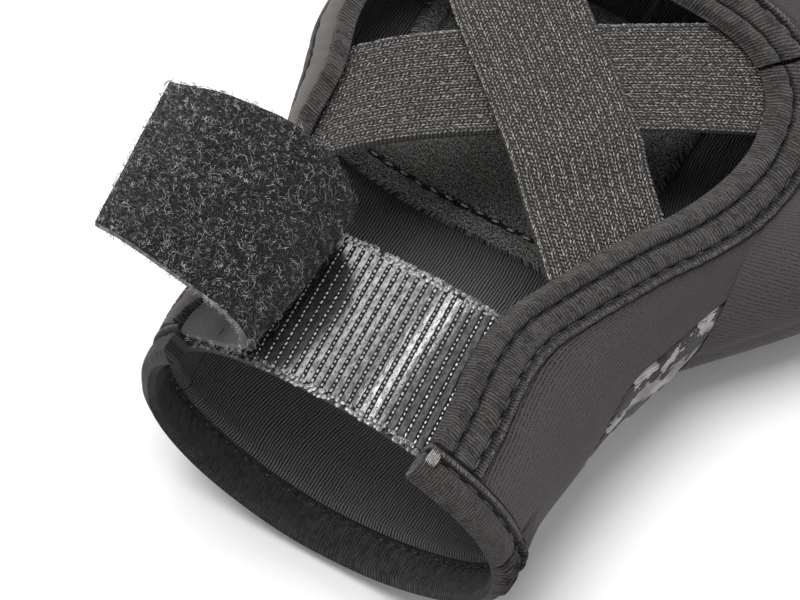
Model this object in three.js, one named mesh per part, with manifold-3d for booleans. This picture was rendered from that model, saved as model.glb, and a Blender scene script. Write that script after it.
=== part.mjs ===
// Fingerless training glove for a left hand, lying palm down: a knit body with an open back,
// two crossed elastic straps, a hook tape across the wrist and a loop tab folded open.
// Millimetres, +Z up, +X to the thumb side, +Y to the fingers. The origin is on the floor, under
// the middle of the palm.
import * as THREE from 'three';
import { mergeVertices } from 'three/addons/utils/BufferGeometryUtils.js';
import Module from 'manifold-3d';

const wasm = await Module();
wasm.setup();

// Body: wrist edge to finger webs, and its width and height at the wrist and at the knuckles
const bodyLength = 113;
const wristWidth = 62;
const wristHeight = 39.5;
const palmWidth = 84;
const knuckleHeight = 26;
const originFromWrist = 65;
const wall = 1.6;
const gap = 0.3;
const wristLift = 1.5;
const wristSlant = 3;
const slantReach = 34;
const palmSink = 0.8;

// Seams between palm and back, as angles below the side of the section. The one on the thumb's
// side rises onto the side of the hand behind the thumb and falls again past it, at these y.
const thumbSeamAngle = THREE.MathUtils.degToRad(-22);
const littleSeamAngle = THREE.MathUtils.degToRad(202);
const seamRise = THREE.MathUtils.degToRad(37);
const seamRiseFrom = 10;
const seamRiseTo = 38;
const seamFallFrom = 50;
const seamFallTo = 84;

// Finger webs lie on a curve that drops to both sides of the middle finger
const webPeakX = 8;
const webDropLittle = 9;
const webDropIndex = 4;

// Folded edge tapes. hemFullness: power of a hem's sine profile. wristEndShare: share of the
// opening's edge at each end on which the binding's outer side turns square to the wrist.
const hemWidth = 6.5;
const hemSwell = 0.7;
const hemFullness = 0.6;
const wristEndShare = 0.06;
const bindingWidth = 9;
const bindingSwell = 1.1;

// Narrow fabrics
const tapeWidth = 25.4;
const tapeThickness = 1.2;
const tapeFromWrist = 4.3;
const tapeTuck = 3.5;
const strapWidth = 20.5;
const strapThickness = 1.4;
const strapRise = strapThickness + gap;
const tabLength = 46;
const tabThickness = 2.2;
const tabSkew = 1.4;
const tabSkewFrom = 0.4;
const tabRootGap = 0.9;

// Palm pad, seen inside. Its ends are shares of bodyLength, its sides shares of half palmWidth.
const padThickness = 2.2;
const padStart = 0.482;
const padEnd = 0.89;
const padLittleSide = 0.738;
const padThumbSide = 0.381;
const padFlare = 0.12;

// Fingers, from the thumb side. width: share of palmWidth. length: share of fingerLength. tip: width
// at the end, as a share of the width at the web. Their sections turn from squarer at the web to
// rounder, over the share squareFade of their length.
const fingerLength = 27;
const fingerWall = 1.5;
const fingerHemWidth = 5;
const fingerHemSwell = 0.6;
const webSquare = 3.6;
const tipSquare = 2.2;
const squareFade = 0.625;
const FINGERS = [
  { name: 'index', width: 0.252, length: 0.93, splay: 5, tip: 0.93 },
  { name: 'middle', width: 0.257, length: 1.0, splay: 1.5, tip: 0.93 },
  { name: 'ring', width: 0.245, length: 0.93, splay: -2.5, tip: 0.92 },
  { name: 'little', width: 0.217, length: 0.78, splay: -7, tip: 0.9 },
];
const tipHeight = 20;

// Thumb sleeve: a tube that leaves the side of the body at a slant
const thumbRadius = 11.8;
const thumbTipRadius = 10.8;
const thumbLength = 41;
const thumbSide = 34;
const thumbFromWrist = 63;
const thumbHeight = 13.5;
const thumbAngle = THREE.MathUtils.degToRad(40);
const thumbDip = THREE.MathUtils.degToRad(2);
// Where the way into the thumb starts inside the body, in radii behind the thumb's centre
const boreStart = 1.6;

// Columns and rows of facets of each kind of piece
const GRID = {
  body: { rows: 20 },
  knuckle: { rows: 14 },
  palm: { columns: 18 },
  wristHem: { columns: 36, rows: 6 },
  hookTape: { columns: 14, rows: 3 },
  strap: { columns: 2, rows: 24 },
  loopTab: { columns: 3, rows: 24 },
  pad: { columns: 8, rows: 8 },
  finger: { sides: 16, rows: 3 },
  thumb: { sides: 24, rows: 4 },
};

// Sections of the body. along: share of bodyLength. littleSpread, thumbSpread: half width on that
// side, from the wrist's (0) to the palm's (1). flatten: height, from the wrist's (0) to the
// knuckles' (1). littleSquare, littleBelow, thumbSquare: roundness of the section on the little
// side above and below, and on the thumb's side, 2 for an ellipse. settle: 0 lifted, 1 resting.
const SECTIONS = [
  {
    along: 0.0, littleSpread: -0.28, thumbSpread: 0.0, flatten: 0.0,
    littleSquare: 2.8, littleBelow: 1.8, thumbSquare: 2.05, settle: 0.0,
  },
  {
    along: 0.106, littleSpread: -0.08, thumbSpread: 0.0, flatten: 0.03,
    littleSquare: 2.7, littleBelow: 1.9, thumbSquare: 2.05, settle: 0.45,
  },
  {
    along: 0.239, littleSpread: -0.08, thumbSpread: 0.08, flatten: 0.1,
    littleSquare: 2.5, littleBelow: 2.1, thumbSquare: 2.1, settle: 0.9,
  },
  {
    along: 0.39, littleSpread: 0.12, thumbSpread: 0.42, flatten: 0.24,
    littleSquare: 2.4, littleBelow: 2.4, thumbSquare: 2.25, settle: 1.0,
  },
  {
    along: 0.558, littleSpread: 0.73, thumbSpread: 0.85, flatten: 0.44,
    littleSquare: 2.5, littleBelow: 2.5, thumbSquare: 2.5, settle: 1.0,
  },
  {
    along: 0.77, littleSpread: 1.0, thumbSpread: 1.0, flatten: 0.73,
    littleSquare: 2.8, littleBelow: 2.8, thumbSquare: 2.8, settle: 1.0,
  },
  {
    along: 1.0, littleSpread: 1.0, thumbSpread: 1.0, flatten: 1.0,
    littleSquare: 3.1, littleBelow: 3.1, thumbSquare: 3.1, settle: 1.0,
  },
];

// Edge of the back opening, from the wrist on the thumb side round the knuckles and back.
// across: share of half the palm's width. along: share of bodyLength.
const OPENING = [
  { across: 0.369, along: 0.060 },
  { across: 0.352, along: 0.115 },
  { across: 0.324, along: 0.168 },
  { across: 0.314, along: 0.221 },
  { across: 0.333, along: 0.274 },
  { across: 0.393, along: 0.336 },
  { across: 0.460, along: 0.398 },
  { across: 0.533, along: 0.460 },
  { across: 0.629, along: 0.531 },
  { across: 0.690, along: 0.602 },
  { across: 0.710, along: 0.681 },
  { across: 0.655, along: 0.757 },
  { across: 0.500, along: 0.805 },
  { across: 0.167, along: 0.823 },
  { across: -0.190, along: 0.823 },
  { across: -0.571, along: 0.805 },
  { across: -0.735, along: 0.757 },
  { across: -0.81, along: 0.681 },
  { across: -0.8, along: 0.602 },
  { across: -0.708, along: 0.496 },
  { across: -0.687, along: 0.398 },
  { across: -0.638, along: 0.327 },
  { across: -0.571, along: 0.257 },
  { across: -0.538, along: 0.177 },
  { across: -0.552, along: 0.115 },
  { across: -0.595, along: 0.060 },
];
// Where along that edge the knuckle stretch starts and ends, at the two corners
const cornerThumb = 0.385;
const cornerLittle = 0.617;

// Ridges of the binding. across: share of its width. swell: share of bindingSwell above the skin.
const RIDGES = [
  { across: 0.0, swell: 0.15 },
  { across: 0.1, swell: 0.9 },
  { across: 0.24, swell: 1.0 },
  { across: 0.36, swell: 0.2 },
  { across: 0.46, swell: 0.8 },
  { across: 0.66, swell: 0.8 },
  { across: 0.78, swell: 0.05 },
  { across: 0.88, swell: 0.55 },
  { across: 1.0, swell: 0.05 },
];

// Loop tab, root to free end, at its edge near the wrist and at its far edge, as shares of
// tabLength: how far out from the root, and how far up from the crown of the body there.
const TAB_PATH = [
  { nearOut: 0.000, nearUp: 0.000, farOut: 0.000, farUp: 0.000 },
  { nearOut: 0.083, nearUp: 0.001, farOut: 0.106, farUp: 0.018 },
  { nearOut: 0.166, nearUp: -0.023, farOut: 0.208, farUp: 0.050 },
  { nearOut: 0.231, nearUp: 0.010, farOut: 0.258, farUp: 0.148 },
  { nearOut: 0.223, nearUp: 0.102, farOut: 0.241, farUp: 0.278 },
  { nearOut: 0.161, nearUp: 0.186, farOut: 0.171, farUp: 0.405 },
  { nearOut: 0.077, nearUp: 0.236, farOut: 0.064, farUp: 0.470 },
  { nearOut: -0.008, nearUp: 0.288, farOut: -0.047, farUp: 0.478 },
  { nearOut: -0.093, nearUp: 0.335, farOut: -0.161, farUp: 0.467 },
  { nearOut: -0.180, nearUp: 0.369, farOut: -0.271, farUp: 0.424 },
  { nearOut: -0.267, nearUp: 0.377, farOut: -0.380, farUp: 0.376 },
];
// Shares of the tab on which it climbs from its root to the level of the crown, and on which its
// root's curve runs out
const tabClimb = 0.3;
const tabStraightens = 0.5;

// Elastic straps, in plan: both ends under the body's edge
const STRAPS = [
  {
    name: 'elastic_strap_over', from: { across: 0.68, along: 0.372 },
    to: { across: -0.676, along: 0.837 }, over: true,
  },
  {
    name: 'elastic_strap_under', from: { across: -0.79, along: 0.44 },
    to: { across: 0.75, along: 0.82 }, over: false,
  },
];
const crossingFlat = 0.17;
const crossingRamp = 0.29;

// Colours, from the photo
const knit = { color: 0x3b3837, roughness: 0.9, metalness: 0 };
const binding = { color: 0x33312f, roughness: 0.85, metalness: 0 };
const elastic = { color: 0x464442, roughness: 0.8, metalness: 0 };
const hooks = { color: 0x77777a, roughness: 0.35, metalness: 0 };
const loops = { color: 0x1d1c1d, roughness: 1, metalness: 0 };
const fleece = { color: 0x232422, roughness: 1, metalness: 0 };
const printed = { color: 0x4b4a49, roughness: 0.8, metalness: 0 };

// Value of one column of a table at a place between its rows, on a smooth curve
function column(rows, key, name, place) {
  const last = rows.length - 1;
  let i = 0;
  while (i < last - 1 && place > rows[i + 1][key]) i++;
  const row = (k) => rows[Math.min(last, Math.max(0, k))];
  const slope = (k) => {
    const span = row(k + 1)[key] - row(k - 1)[key];
    return span > 0 ? (row(k + 1)[name] - row(k - 1)[name]) / span : 0;
  };
  const span = row(i + 1)[key] - row(i)[key];
  const t = THREE.MathUtils.clamp((place - row(i)[key]) / span, 0, 1);
  const a = row(i)[name];
  const b = row(i + 1)[name];
  const rise = (2 * t ** 3 - 3 * t ** 2 + 1) * a + (-2 * t ** 3 + 3 * t ** 2) * b;
  return rise + span * ((t ** 3 - 2 * t ** 2 + t) * slope(i) + (t ** 3 - t ** 2) * slope(i + 1));
}

const mix = THREE.MathUtils.lerp;
const signedPower = (v, p) => Math.sign(v) * Math.abs(v) ** p;

function sectionAt(y) {
  const place = THREE.MathUtils.clamp(y / bodyLength, 0, 1);
  const read = (name) => column(SECTIONS, 'along', name, place);
  return {
    little: mix(wristWidth, palmWidth, read('littleSpread')) / 2,
    thumb: mix(wristWidth, palmWidth, read('thumbSpread')) / 2,
    height: mix(wristHeight, knuckleHeight, read('flatten')),
    littleSquare: read('littleSquare'),
    littleBelow: read('littleBelow'),
    thumbSquare: read('thumbSquare'),
    lift: mix(wristLift, -palmSink, read('settle')),
  };
}

// Roundness of a section in one of its quarters
function squareOf(s, onThumbSide, below) {
  if (onThumbSide) return s.thumbSquare;
  return below ? s.littleBelow : s.littleSquare;
}

// Point of the body's skin at an angle round the section, sunk by depth. The palm lies flat.
function skin(angle, y, depth) {
  const s = sectionAt(y);
  const c = Math.cos(angle);
  const up = Math.sin(angle);
  const side = c >= 0 ? s.thumb : s.little;
  const square = squareOf(s, c >= 0, up < 0);
  const x = (side - depth) * signedPower(c, 2 / square);
  const half = s.height / 2;
  const z = s.lift + half + (half - depth) * signedPower(up, 2 / square);
  const slant = 1 - THREE.MathUtils.smoothstep(y, 0, slantReach);
  const back = ((wristSlant * (1 - up)) / 2) * slant;
  return new THREE.Vector3(x, y - back, Math.max(z, depth));
}

// Angle on the back of the hand, or on the palm, that lies at x
function angleAt(x, y, palm = false) {
  const s = sectionAt(y);
  const side = x >= 0 ? s.thumb : s.little;
  const square = squareOf(s, x >= 0, palm);
  const share = THREE.MathUtils.clamp(Math.abs(x) / side, 0, 1) ** (square / 2);
  const angle = Math.acos(Math.sign(x) * share);
  return palm ? -angle : angle;
}

// The body's front edge at an angle: the line of the finger webs
function webLine(x) {
  const drop = x < webPeakX ? webDropLittle : webDropIndex;
  return bodyLength - drop * ((x - webPeakX) / (palmWidth / 2)) ** 2;
}
function frontAt(angle) {
  return webLine(skin(angle, bodyLength, 0).x);
}

// Angle of the thumb side's seam at y
function thumbSeamAt(y) {
  const rise = THREE.MathUtils.smoothstep(y, seamRiseFrom, seamRiseTo);
  const fall = THREE.MathUtils.smoothstep(y, seamFallFrom, seamFallTo);
  return thumbSeamAngle + seamRise * rise * (1 - fall);
}

// Closed solid between an outer and an inner grid of points. point(u, v, inner) gives each.
function sheet(columns, rows, point) {
  const positions = [];
  const index = [];
  const at = (i, j, inner) => (inner * (rows + 1) + j) * (columns + 1) + i;
  for (const inner of [0, 1]) {
    for (let j = 0; j <= rows; j++) {
      for (let i = 0; i <= columns; i++) {
        positions.push(...point(i / columns, j / rows, inner).toArray());
      }
    }
  }
  const quad = (a, b, c, d) => index.push(a, b, c, a, c, d);
  for (let j = 0; j < rows; j++) {
    for (let i = 0; i < columns; i++) {
      quad(at(i, j, 0), at(i + 1, j, 0), at(i + 1, j + 1, 0), at(i, j + 1, 0));
      quad(at(i, j, 1), at(i, j + 1, 1), at(i + 1, j + 1, 1), at(i + 1, j, 1));
    }
  }
  for (let i = 0; i < columns; i++) {
    quad(at(i, 0, 0), at(i, 0, 1), at(i + 1, 0, 1), at(i + 1, 0, 0));
    quad(at(i, rows, 0), at(i + 1, rows, 0), at(i + 1, rows, 1), at(i, rows, 1));
  }
  for (let j = 0; j < rows; j++) {
    quad(at(0, j, 0), at(0, j + 1, 0), at(0, j + 1, 1), at(0, j, 1));
    quad(at(columns, j, 0), at(columns, j, 1), at(columns, j + 1, 1), at(columns, j + 1, 0));
  }
  return closed(positions, index);
}

// Closed tube between an outer and an inner sleeve of rings. point(u, v, inner) gives each.
function sleeve(sides, rows, point) {
  const positions = [];
  const index = [];
  const at = (i, j, inner) => (inner * (rows + 1) + j) * sides + (i % sides);
  for (const inner of [0, 1]) {
    for (let j = 0; j <= rows; j++) {
      for (let i = 0; i < sides; i++) {
        positions.push(...point(i / sides, j / rows, inner).toArray());
      }
    }
  }
  const quad = (a, b, c, d) => index.push(a, b, c, a, c, d);
  for (let i = 0; i < sides; i++) {
    for (let j = 0; j < rows; j++) {
      quad(at(i, j, 0), at(i + 1, j, 0), at(i + 1, j + 1, 0), at(i, j + 1, 0));
      quad(at(i, j, 1), at(i, j + 1, 1), at(i + 1, j + 1, 1), at(i + 1, j, 1));
    }
    quad(at(i, 0, 0), at(i, 0, 1), at(i + 1, 0, 1), at(i + 1, 0, 0));
    quad(at(i, rows, 0), at(i + 1, rows, 0), at(i + 1, rows, 1), at(i, rows, 1));
  }
  return closed(positions, index);
}

// Geometry from points and triangles, turned so that its faces point out
function closed(positions, index) {
  const geometry = new THREE.BufferGeometry();
  geometry.setAttribute('position', new THREE.Float32BufferAttribute(positions, 3));
  let volume = 0;
  const p = (k) => new THREE.Vector3().fromArray(positions, 3 * k);
  for (let k = 0; k < index.length; k += 3) {
    volume += p(index[k]).dot(p(index[k + 1]).cross(p(index[k + 2])));
  }
  if (volume < 0) {
    for (let k = 0; k < index.length; k += 3) {
      [index[k + 1], index[k + 2]] = [index[k + 2], index[k + 1]];
    }
  }
  geometry.setIndex(index);
  return geometry;
}

function toSolid(geometry) {
  const bare = new THREE.BufferGeometry();
  bare.setAttribute('position', geometry.getAttribute('position').clone());
  bare.setIndex(geometry.getIndex());
  const merged = mergeVertices(bare);
  return new wasm.Manifold(new wasm.Mesh({
    numProp: 3,
    vertProperties: new Float32Array(merged.getAttribute('position').array),
    triVerts: new Uint32Array(merged.getIndex().array),
  }));
}

function fromSolid(solid) {
  const mesh = solid.getMesh();
  const geometry = new THREE.BufferGeometry();
  geometry.setAttribute('position', new THREE.Float32BufferAttribute(mesh.vertProperties, 3));
  geometry.setIndex(new THREE.Uint32BufferAttribute(mesh.triVerts, 1));
  return geometry;
}

const glove = new THREE.Group();
glove.position.y = -originFromWrist;

function addPiece(name, geometry, look) {
  geometry.computeVertexNormals();
  const mesh = new THREE.Mesh(geometry, new THREE.MeshStandardMaterial(look));
  mesh.name = name;
  glove.add(mesh);
}

// The opening's edge as a smooth curve in plan, and the skin's angle and y along it
const openingCurve = new THREE.CatmullRomCurve3(
  OPENING.map((p) => new THREE.Vector3((p.across * palmWidth) / 2, p.along * bodyLength, 0)),
);
function openingEdge(share) {
  const p = openingCurve.getPointAt(THREE.MathUtils.clamp(share, 0, 1));
  return { angle: angleAt(p.x, p.y), y: p.y };
}

// Length of skin for each radian at an angle
function girth(angle, y) {
  const step = 0.01;
  return skin(angle - step, y, 0).distanceTo(skin(angle + step, y, 0)) / (2 * step);
}

// Place on the skin at a distance outward from the opening's edge, square to that edge
function outFromEdge(share, distance) {
  const step = 0.004;
  const before = openingEdge(share - step);
  const after = openingEdge(share + step);
  const here = openingEdge(share);
  const turn = (after.angle - before.angle) * girth(here.angle, here.y);
  const rise = after.y - before.y;
  const length = Math.hypot(turn, rise);
  const wristEnd = THREE.MathUtils.smoothstep(Math.min(share, 1 - share), 0, wristEndShare);
  let acrossPart = -rise / length;
  let alongPart = (turn / length) * wristEnd;
  const unit = Math.hypot(acrossPart, alongPart);
  acrossPart /= unit;
  alongPart /= unit;
  const steps = 6;
  let { angle, y } = here;
  for (let k = 0; k < steps; k++) {
    angle += (acrossPart * distance) / steps / girth(angle, y);
    y += (alongPart * distance) / steps;
  }
  return { angle, y };
}

// Where the body's wall starts behind the wrist hem
const bodyStart = hemWidth + gap;
// Share of the edge, and angle at a seam, that stay free between neighbouring pieces
const jointShare = gap / openingCurve.getLength();
const seamTurn = gap / (palmWidth / 2);

// Stretches of the back, each with its share of the opening's edge, and its outer border at t
const STRETCHES = [
  {
    name: 'thumb_side', start: 0, end: cornerThumb, rows: GRID.body.rows, columns: 7,
    border: (t) => {
      const y = mix(bodyStart, frontAt(thumbSeamAngle + seamTurn) - gap, t);
      return { angle: thumbSeamAt(y) + seamTurn, y };
    },
  },
  {
    name: 'knuckle', start: cornerThumb, end: cornerLittle, rows: GRID.knuckle.rows, columns: 5,
    border: (t) => {
      const angle = mix(thumbSeamAngle + seamTurn, littleSeamAngle - seamTurn, t);
      return { angle, y: frontAt(angle) };
    },
  },
  {
    name: 'little_side', start: cornerLittle, end: 1, rows: GRID.body.rows, columns: 5,
    border: (t) => {
      const angle = littleSeamAngle - seamTurn;
      return { angle, y: mix(frontAt(angle) - gap, bodyStart, t) };
    },
  },
];

function stretchShare(stretch, t) {
  const start = stretch.start === 0 ? 0 : stretch.start + jointShare;
  const end = stretch.end === 1 ? 1 : stretch.end - jointShare;
  return mix(start, end, t);
}

// Folded binding along one stretch of the opening, with its ridges
function bindingPiece(stretch) {
  const columns = RIDGES.length - 1;
  return sheet(columns, stretch.rows, (u, v, inner) => {
    const ridge = RIDGES[Math.round(u * columns)];
    const place = outFromEdge(stretchShare(stretch, v), ridge.across * bindingWidth);
    return skin(place.angle, place.y, inner ? wall : -ridge.swell * bindingSwell);
  });
}

// Knit panel between the binding and the seam or the finger webs
function backPanel(stretch) {
  return sheet(stretch.columns, stretch.rows, (u, v, inner) => {
    const from = outFromEdge(stretchShare(stretch, v), bindingWidth + gap);
    const to = stretch.border(v);
    return skin(mix(from.angle, to.angle, u), mix(from.y, to.y, u), inner ? wall : 0);
  });
}

// Palm between the two seams; its rows meet those of the back panels
function palmPanel() {
  return sheet(GRID.palm.columns, GRID.body.rows, (u, v, inner) => {
    const front = frontAt(mix(littleSeamAngle, thumbSeamAngle + 2 * Math.PI, u));
    const y = mix(bodyStart, front, v);
    const angle = mix(littleSeamAngle, thumbSeamAt(y) + 2 * Math.PI, u);
    return skin(angle, y, inner ? wall : 0);
  });
}

// Wrist hem: a folded tape round the wrist, open under the hook tape
function wristHem() {
  const from = openingEdge(0).angle;
  const to = openingEdge(1).angle - 2 * Math.PI;
  return sheet(GRID.wristHem.columns, GRID.wristHem.rows, (u, v, inner) => {
    const swell = hemSwell * Math.sin(Math.PI * v) ** hemFullness;
    return skin(mix(from, to, u), v * hemWidth, inner ? wall : -swell);
  });
}

// Hook tape across the wrist, its ends tucked under the bindings
function hookTape() {
  return sheet(GRID.hookTape.columns, GRID.hookTape.rows, (u, v, inner) => {
    const y = tapeFromWrist + v * tapeWidth;
    const edge = y / bodyLength;
    const thumbSide = edgeX(edge, true) + tapeTuck;
    const littleSide = edgeX(edge, false) - tapeTuck;
    const angle = angleAt(mix(thumbSide, littleSide, u), y);
    return skin(angle, y, wall + gap + inner * tapeThickness);
  });
}

// The opening's edge at a share of the length, on one side
function edgeX(along, onThumbSide) {
  const half = OPENING.length / 2;
  const rows = onThumbSide ? OPENING.slice(0, half) : OPENING.slice(half).reverse();
  return (column(rows, 'along', 'across', along) * palmWidth) / 2;
}

function inPlan(p) {
  return new THREE.Vector2((p.across * palmWidth) / 2, p.along * bodyLength);
}

// Share of the upper strap's length where the lower one crosses it
function crossingPlace() {
  const [upper, lower] = STRAPS.map((s) => ({ from: inPlan(s.from), to: inPlan(s.to) }));
  const a = upper.to.sub(upper.from);
  const b = lower.to.sub(lower.from);
  return lower.from.sub(upper.from).cross(b) / a.cross(b);
}
const crossingShare = crossingPlace();

// Elastic strap in plan between two places; the upper one rises over the crossing
function elasticStrap(strap) {
  const from = inPlan(strap.from);
  const to = inPlan(strap.to);
  const along = to.clone().sub(from).normalize();
  const across = new THREE.Vector2(-along.y, along.x);
  return sheet(GRID.strap.columns, GRID.strap.rows, (u, v, inner) => {
    const p = from.clone().lerp(to, v).addScaledVector(across, (u - 0.5) * strapWidth);
    const off = Math.abs(v - crossingShare);
    const ramp = 1 - THREE.MathUtils.smoothstep(off, crossingFlat, crossingRamp);
    const rise = strap.over ? strapRise * ramp : 0;
    return skin(angleAt(p.x, p.y), p.y, wall + gap - rise + inner * strapThickness);
  });
}

// Loop tab: rises from its root, folds back over itself and ends free
function loopTab() {
  const rows = TAB_PATH.map((r, k) => ({ ...r, place: k / (TAB_PATH.length - 1) }));
  const read = (name, v) => column(rows, 'place', name, v) * tabLength;
  const rootX = (u) => edgeX((tapeFromWrist + u * tapeWidth) / bodyLength, false) + tabRootGap;
  const middle = (u, v) => {
    const skew = tabSkew * THREE.MathUtils.smoothstep(v, tabSkewFrom, 1);
    const y = tapeFromWrist + u * tapeWidth - skew;
    const chord = mix(rootX(0), rootX(1), u);
    const x = mix(rootX(u), chord, THREE.MathUtils.smoothstep(v, 0, tabStraightens));
    const seat = skin(angleAt(x, y), y, 0);
    const crown = skin(Math.PI / 2, y, 0).z;
    const base = mix(seat.z, crown, THREE.MathUtils.smoothstep(v, 0, tabClimb));
    const out = mix(read('nearOut', v), read('farOut', v), u);
    const up = mix(read('nearUp', v), read('farUp', v), u);
    return new THREE.Vector3(seat.x + out, y, base + up + (tabThickness - wall) / 2);
  };
  const step = 0.01;
  return sheet(GRID.loopTab.columns, GRID.loopTab.rows, (u, v, inner) => {
    const p = middle(u, v);
    const ahead = middle(u, Math.min(1, v + step)).sub(middle(u, Math.max(0, v - step)));
    const normal = new THREE.Vector3(-ahead.z, 0, ahead.x).normalize();
    return p.addScaledVector(normal, (inner ? -1 : 1) * (tabThickness / 2));
  });
}

// Fleece pad on the palm, inside
function palmPad() {
  return sheet(GRID.pad.columns, GRID.pad.rows, (u, v, inner) => {
    const y = mix(padStart, padEnd, v) * bodyLength;
    const x = (mix(-padLittleSide, padThumbSide, u) * (1 + padFlare * v) * palmWidth) / 2;
    return skin(angleAt(x, y, true), y, wall + gap + (1 - inner) * padThickness);
  });
}

// Places of the fingers' bases, from the thumb side, with a gap between neighbours
function fingerPlaces() {
  const fingers = FINGERS.map((f) => (
    { ...f, width: f.width * palmWidth, length: f.length * fingerLength }
  ));
  const room = fingers.reduce((sum, f) => sum + f.width, 0) + gap * (fingers.length - 1);
  let edge = room / 2;
  return fingers.map((f) => {
    const x = edge - f.width / 2;
    edge -= f.width + gap;
    const y = webLine(x);
    const top = skin(angleAt(x, y), y, 0).z;
    const bottom = skin(angleAt(x, y, true), y, 0).z;
    return { ...f, x, top, bottom };
  });
}

// Point of a finger's skin: share 0 at the web, 1 at the sleeve's end
function fingerPoint(finger, angle, reach, depth) {
  const share = reach / finger.length;
  const square = mix(webSquare, tipSquare, Math.min(1, share / squareFade));
  const halfX = (mix(1, finger.tip, share) * finger.width) / 2 - depth;
  const base = (finger.top - finger.bottom) / 2;
  const halfZ = mix(base, Math.min(base, tipHeight / 2), share) - depth;
  const splay = Math.tan(THREE.MathUtils.degToRad(finger.splay));
  const x = finger.x + splay * reach + halfX * signedPower(Math.cos(angle), 2 / square);
  const middle = (finger.top + finger.bottom) / 2;
  const z = middle + halfZ * signedPower(Math.sin(angle), 2 / square);
  const baseX = finger.x + halfX * signedPower(Math.cos(angle), 2 / square);
  return new THREE.Vector3(x, webLine(baseX) + gap + reach, z);
}

function fingerSleeve(finger) {
  const end = finger.length - fingerHemWidth - gap;
  return sleeve(GRID.finger.sides, GRID.finger.rows, (u, v, inner) => (
    fingerPoint(finger, 2 * Math.PI * u, v * end, inner * fingerWall)
  ));
}

function fingerHem(finger) {
  const start = finger.length - fingerHemWidth;
  return sleeve(GRID.finger.sides, GRID.finger.rows, (u, v, inner) => {
    const swell = fingerHemSwell * Math.sin(Math.PI * v) ** hemFullness;
    const reach = start + v * fingerHemWidth;
    const depth = inner ? fingerWall + swell : -swell;
    return fingerPoint(finger, 2 * Math.PI * u, reach, depth);
  });
}

// The thumb's own axes: along it, to its side and up
const thumbAlong = new THREE.Vector3(
  Math.sin(thumbAngle) * Math.cos(thumbDip),
  Math.cos(thumbAngle) * Math.cos(thumbDip),
  -Math.sin(thumbDip),
);
const thumbAcross = new THREE.Vector3(0, 0, 1).cross(thumbAlong).normalize();
const thumbUp = thumbAlong.clone().cross(thumbAcross);
const thumbCentre = new THREE.Vector3(thumbSide, thumbFromWrist, thumbHeight);

function thumbPoint(angle, reach, depth) {
  const radius = mix(thumbRadius, thumbTipRadius, Math.max(0, reach) / thumbLength) - depth;
  return thumbCentre.clone()
    .addScaledVector(thumbAlong, reach)
    .addScaledVector(thumbAcross, radius * Math.cos(angle))
    .addScaledVector(thumbUp, radius * Math.sin(angle));
}

// How far along its line the thumb's skin leaves the body's skin, with the gap kept
function thumbLeaves(angle, depth) {
  let low = -thumbRadius * 2;
  let high = thumbLength;
  const halvings = 24;
  for (let k = 0; k < halvings; k++) {
    const reach = (low + high) / 2;
    const p = thumbPoint(angle, reach, depth);
    const s = sectionAt(p.y);
    const half = s.height / 2 + gap;
    const side = (p.x >= 0 ? s.thumb : s.little) + gap;
    const rise = p.z - s.lift - s.height / 2;
    const square = squareOf(s, p.x >= 0, rise < 0);
    const level = Math.abs(p.x / side) ** square + Math.abs(rise / half) ** square;
    if (level < 1) low = reach;
    else high = reach;
  }
  return high;
}

function thumbSleeve() {
  const end = thumbLength - fingerHemWidth - gap;
  return sleeve(GRID.thumb.sides, GRID.thumb.rows, (u, v, inner) => {
    const angle = 2 * Math.PI * u;
    const depth = inner * fingerWall;
    return thumbPoint(angle, mix(thumbLeaves(angle, depth), end, v), depth);
  });
}

function thumbHem() {
  const start = thumbLength - fingerHemWidth;
  return sleeve(GRID.thumb.sides, GRID.finger.rows, (u, v, inner) => {
    const swell = fingerHemSwell * Math.sin(Math.PI * v) ** hemFullness;
    const depth = inner ? fingerWall + swell : -swell;
    return thumbPoint(2 * Math.PI * u, start + v * fingerHemWidth, depth);
  });
}

// The way into the thumb, cut out of the body's wall
function thumbBore() {
  const { sides } = GRID.thumb;
  const positions = [];
  const index = [];
  const ends = [-thumbRadius * boreStart, thumbLength];
  for (const reach of ends) {
    for (let i = 0; i < sides; i++) {
      const p = thumbPoint((2 * Math.PI * i) / sides, reach, fingerWall);
      positions.push(...p.toArray());
    }
    positions.push(...thumbCentre.clone().addScaledVector(thumbAlong, reach).toArray());
  }
  const ring = sides + 1;
  for (let i = 0; i < sides; i++) {
    const next = (i + 1) % sides;
    index.push(i, next, ring + next, i, ring + next, ring + i);
    index.push(sides, next, i, ring + sides, ring + i, ring + next);
  }
  return toSolid(closed(positions, index));
}

const bore = thumbBore();
const bored = (geometry) => fromSolid(toSolid(geometry).subtract(bore));

addPiece('palm_panel', bored(palmPanel()), printed);
for (const stretch of STRETCHES) {
  const panel = backPanel(stretch);
  const open = stretch.name === 'thumb_side' ? bored(panel) : panel;
  addPiece(`${stretch.name}_panel`, open, knit);
  addPiece(`${stretch.name}_binding`, bindingPiece(stretch), binding);
}
addPiece('wrist_hem', wristHem(), binding);
addPiece('hook_tape', hookTape(), hooks);
addPiece('loop_tab', loopTab(), loops);
for (const strap of STRAPS) addPiece(strap.name, elasticStrap(strap), elastic);
addPiece('palm_pad', palmPad(), fleece);
for (const finger of fingerPlaces()) {
  addPiece(`${finger.name}_sleeve`, fingerSleeve(finger), knit);
  addPiece(`${finger.name}_hem`, fingerHem(finger), binding);
}
addPiece('thumb_sleeve', thumbSleeve(), knit);
addPiece('thumb_hem', thumbHem(), binding);

export default glove;
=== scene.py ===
"""Fingerless training glove, lying palm down: cloth, webbing, hook tape, pile and fleece in full detail.

Sizes are millimetres, measured from the wrist edge along y, and become metres in the row frame when
a mesh is made. The glove's main form is the same skin as the CAD's, so each piece lies where its
solid does.
"""

import math

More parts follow.
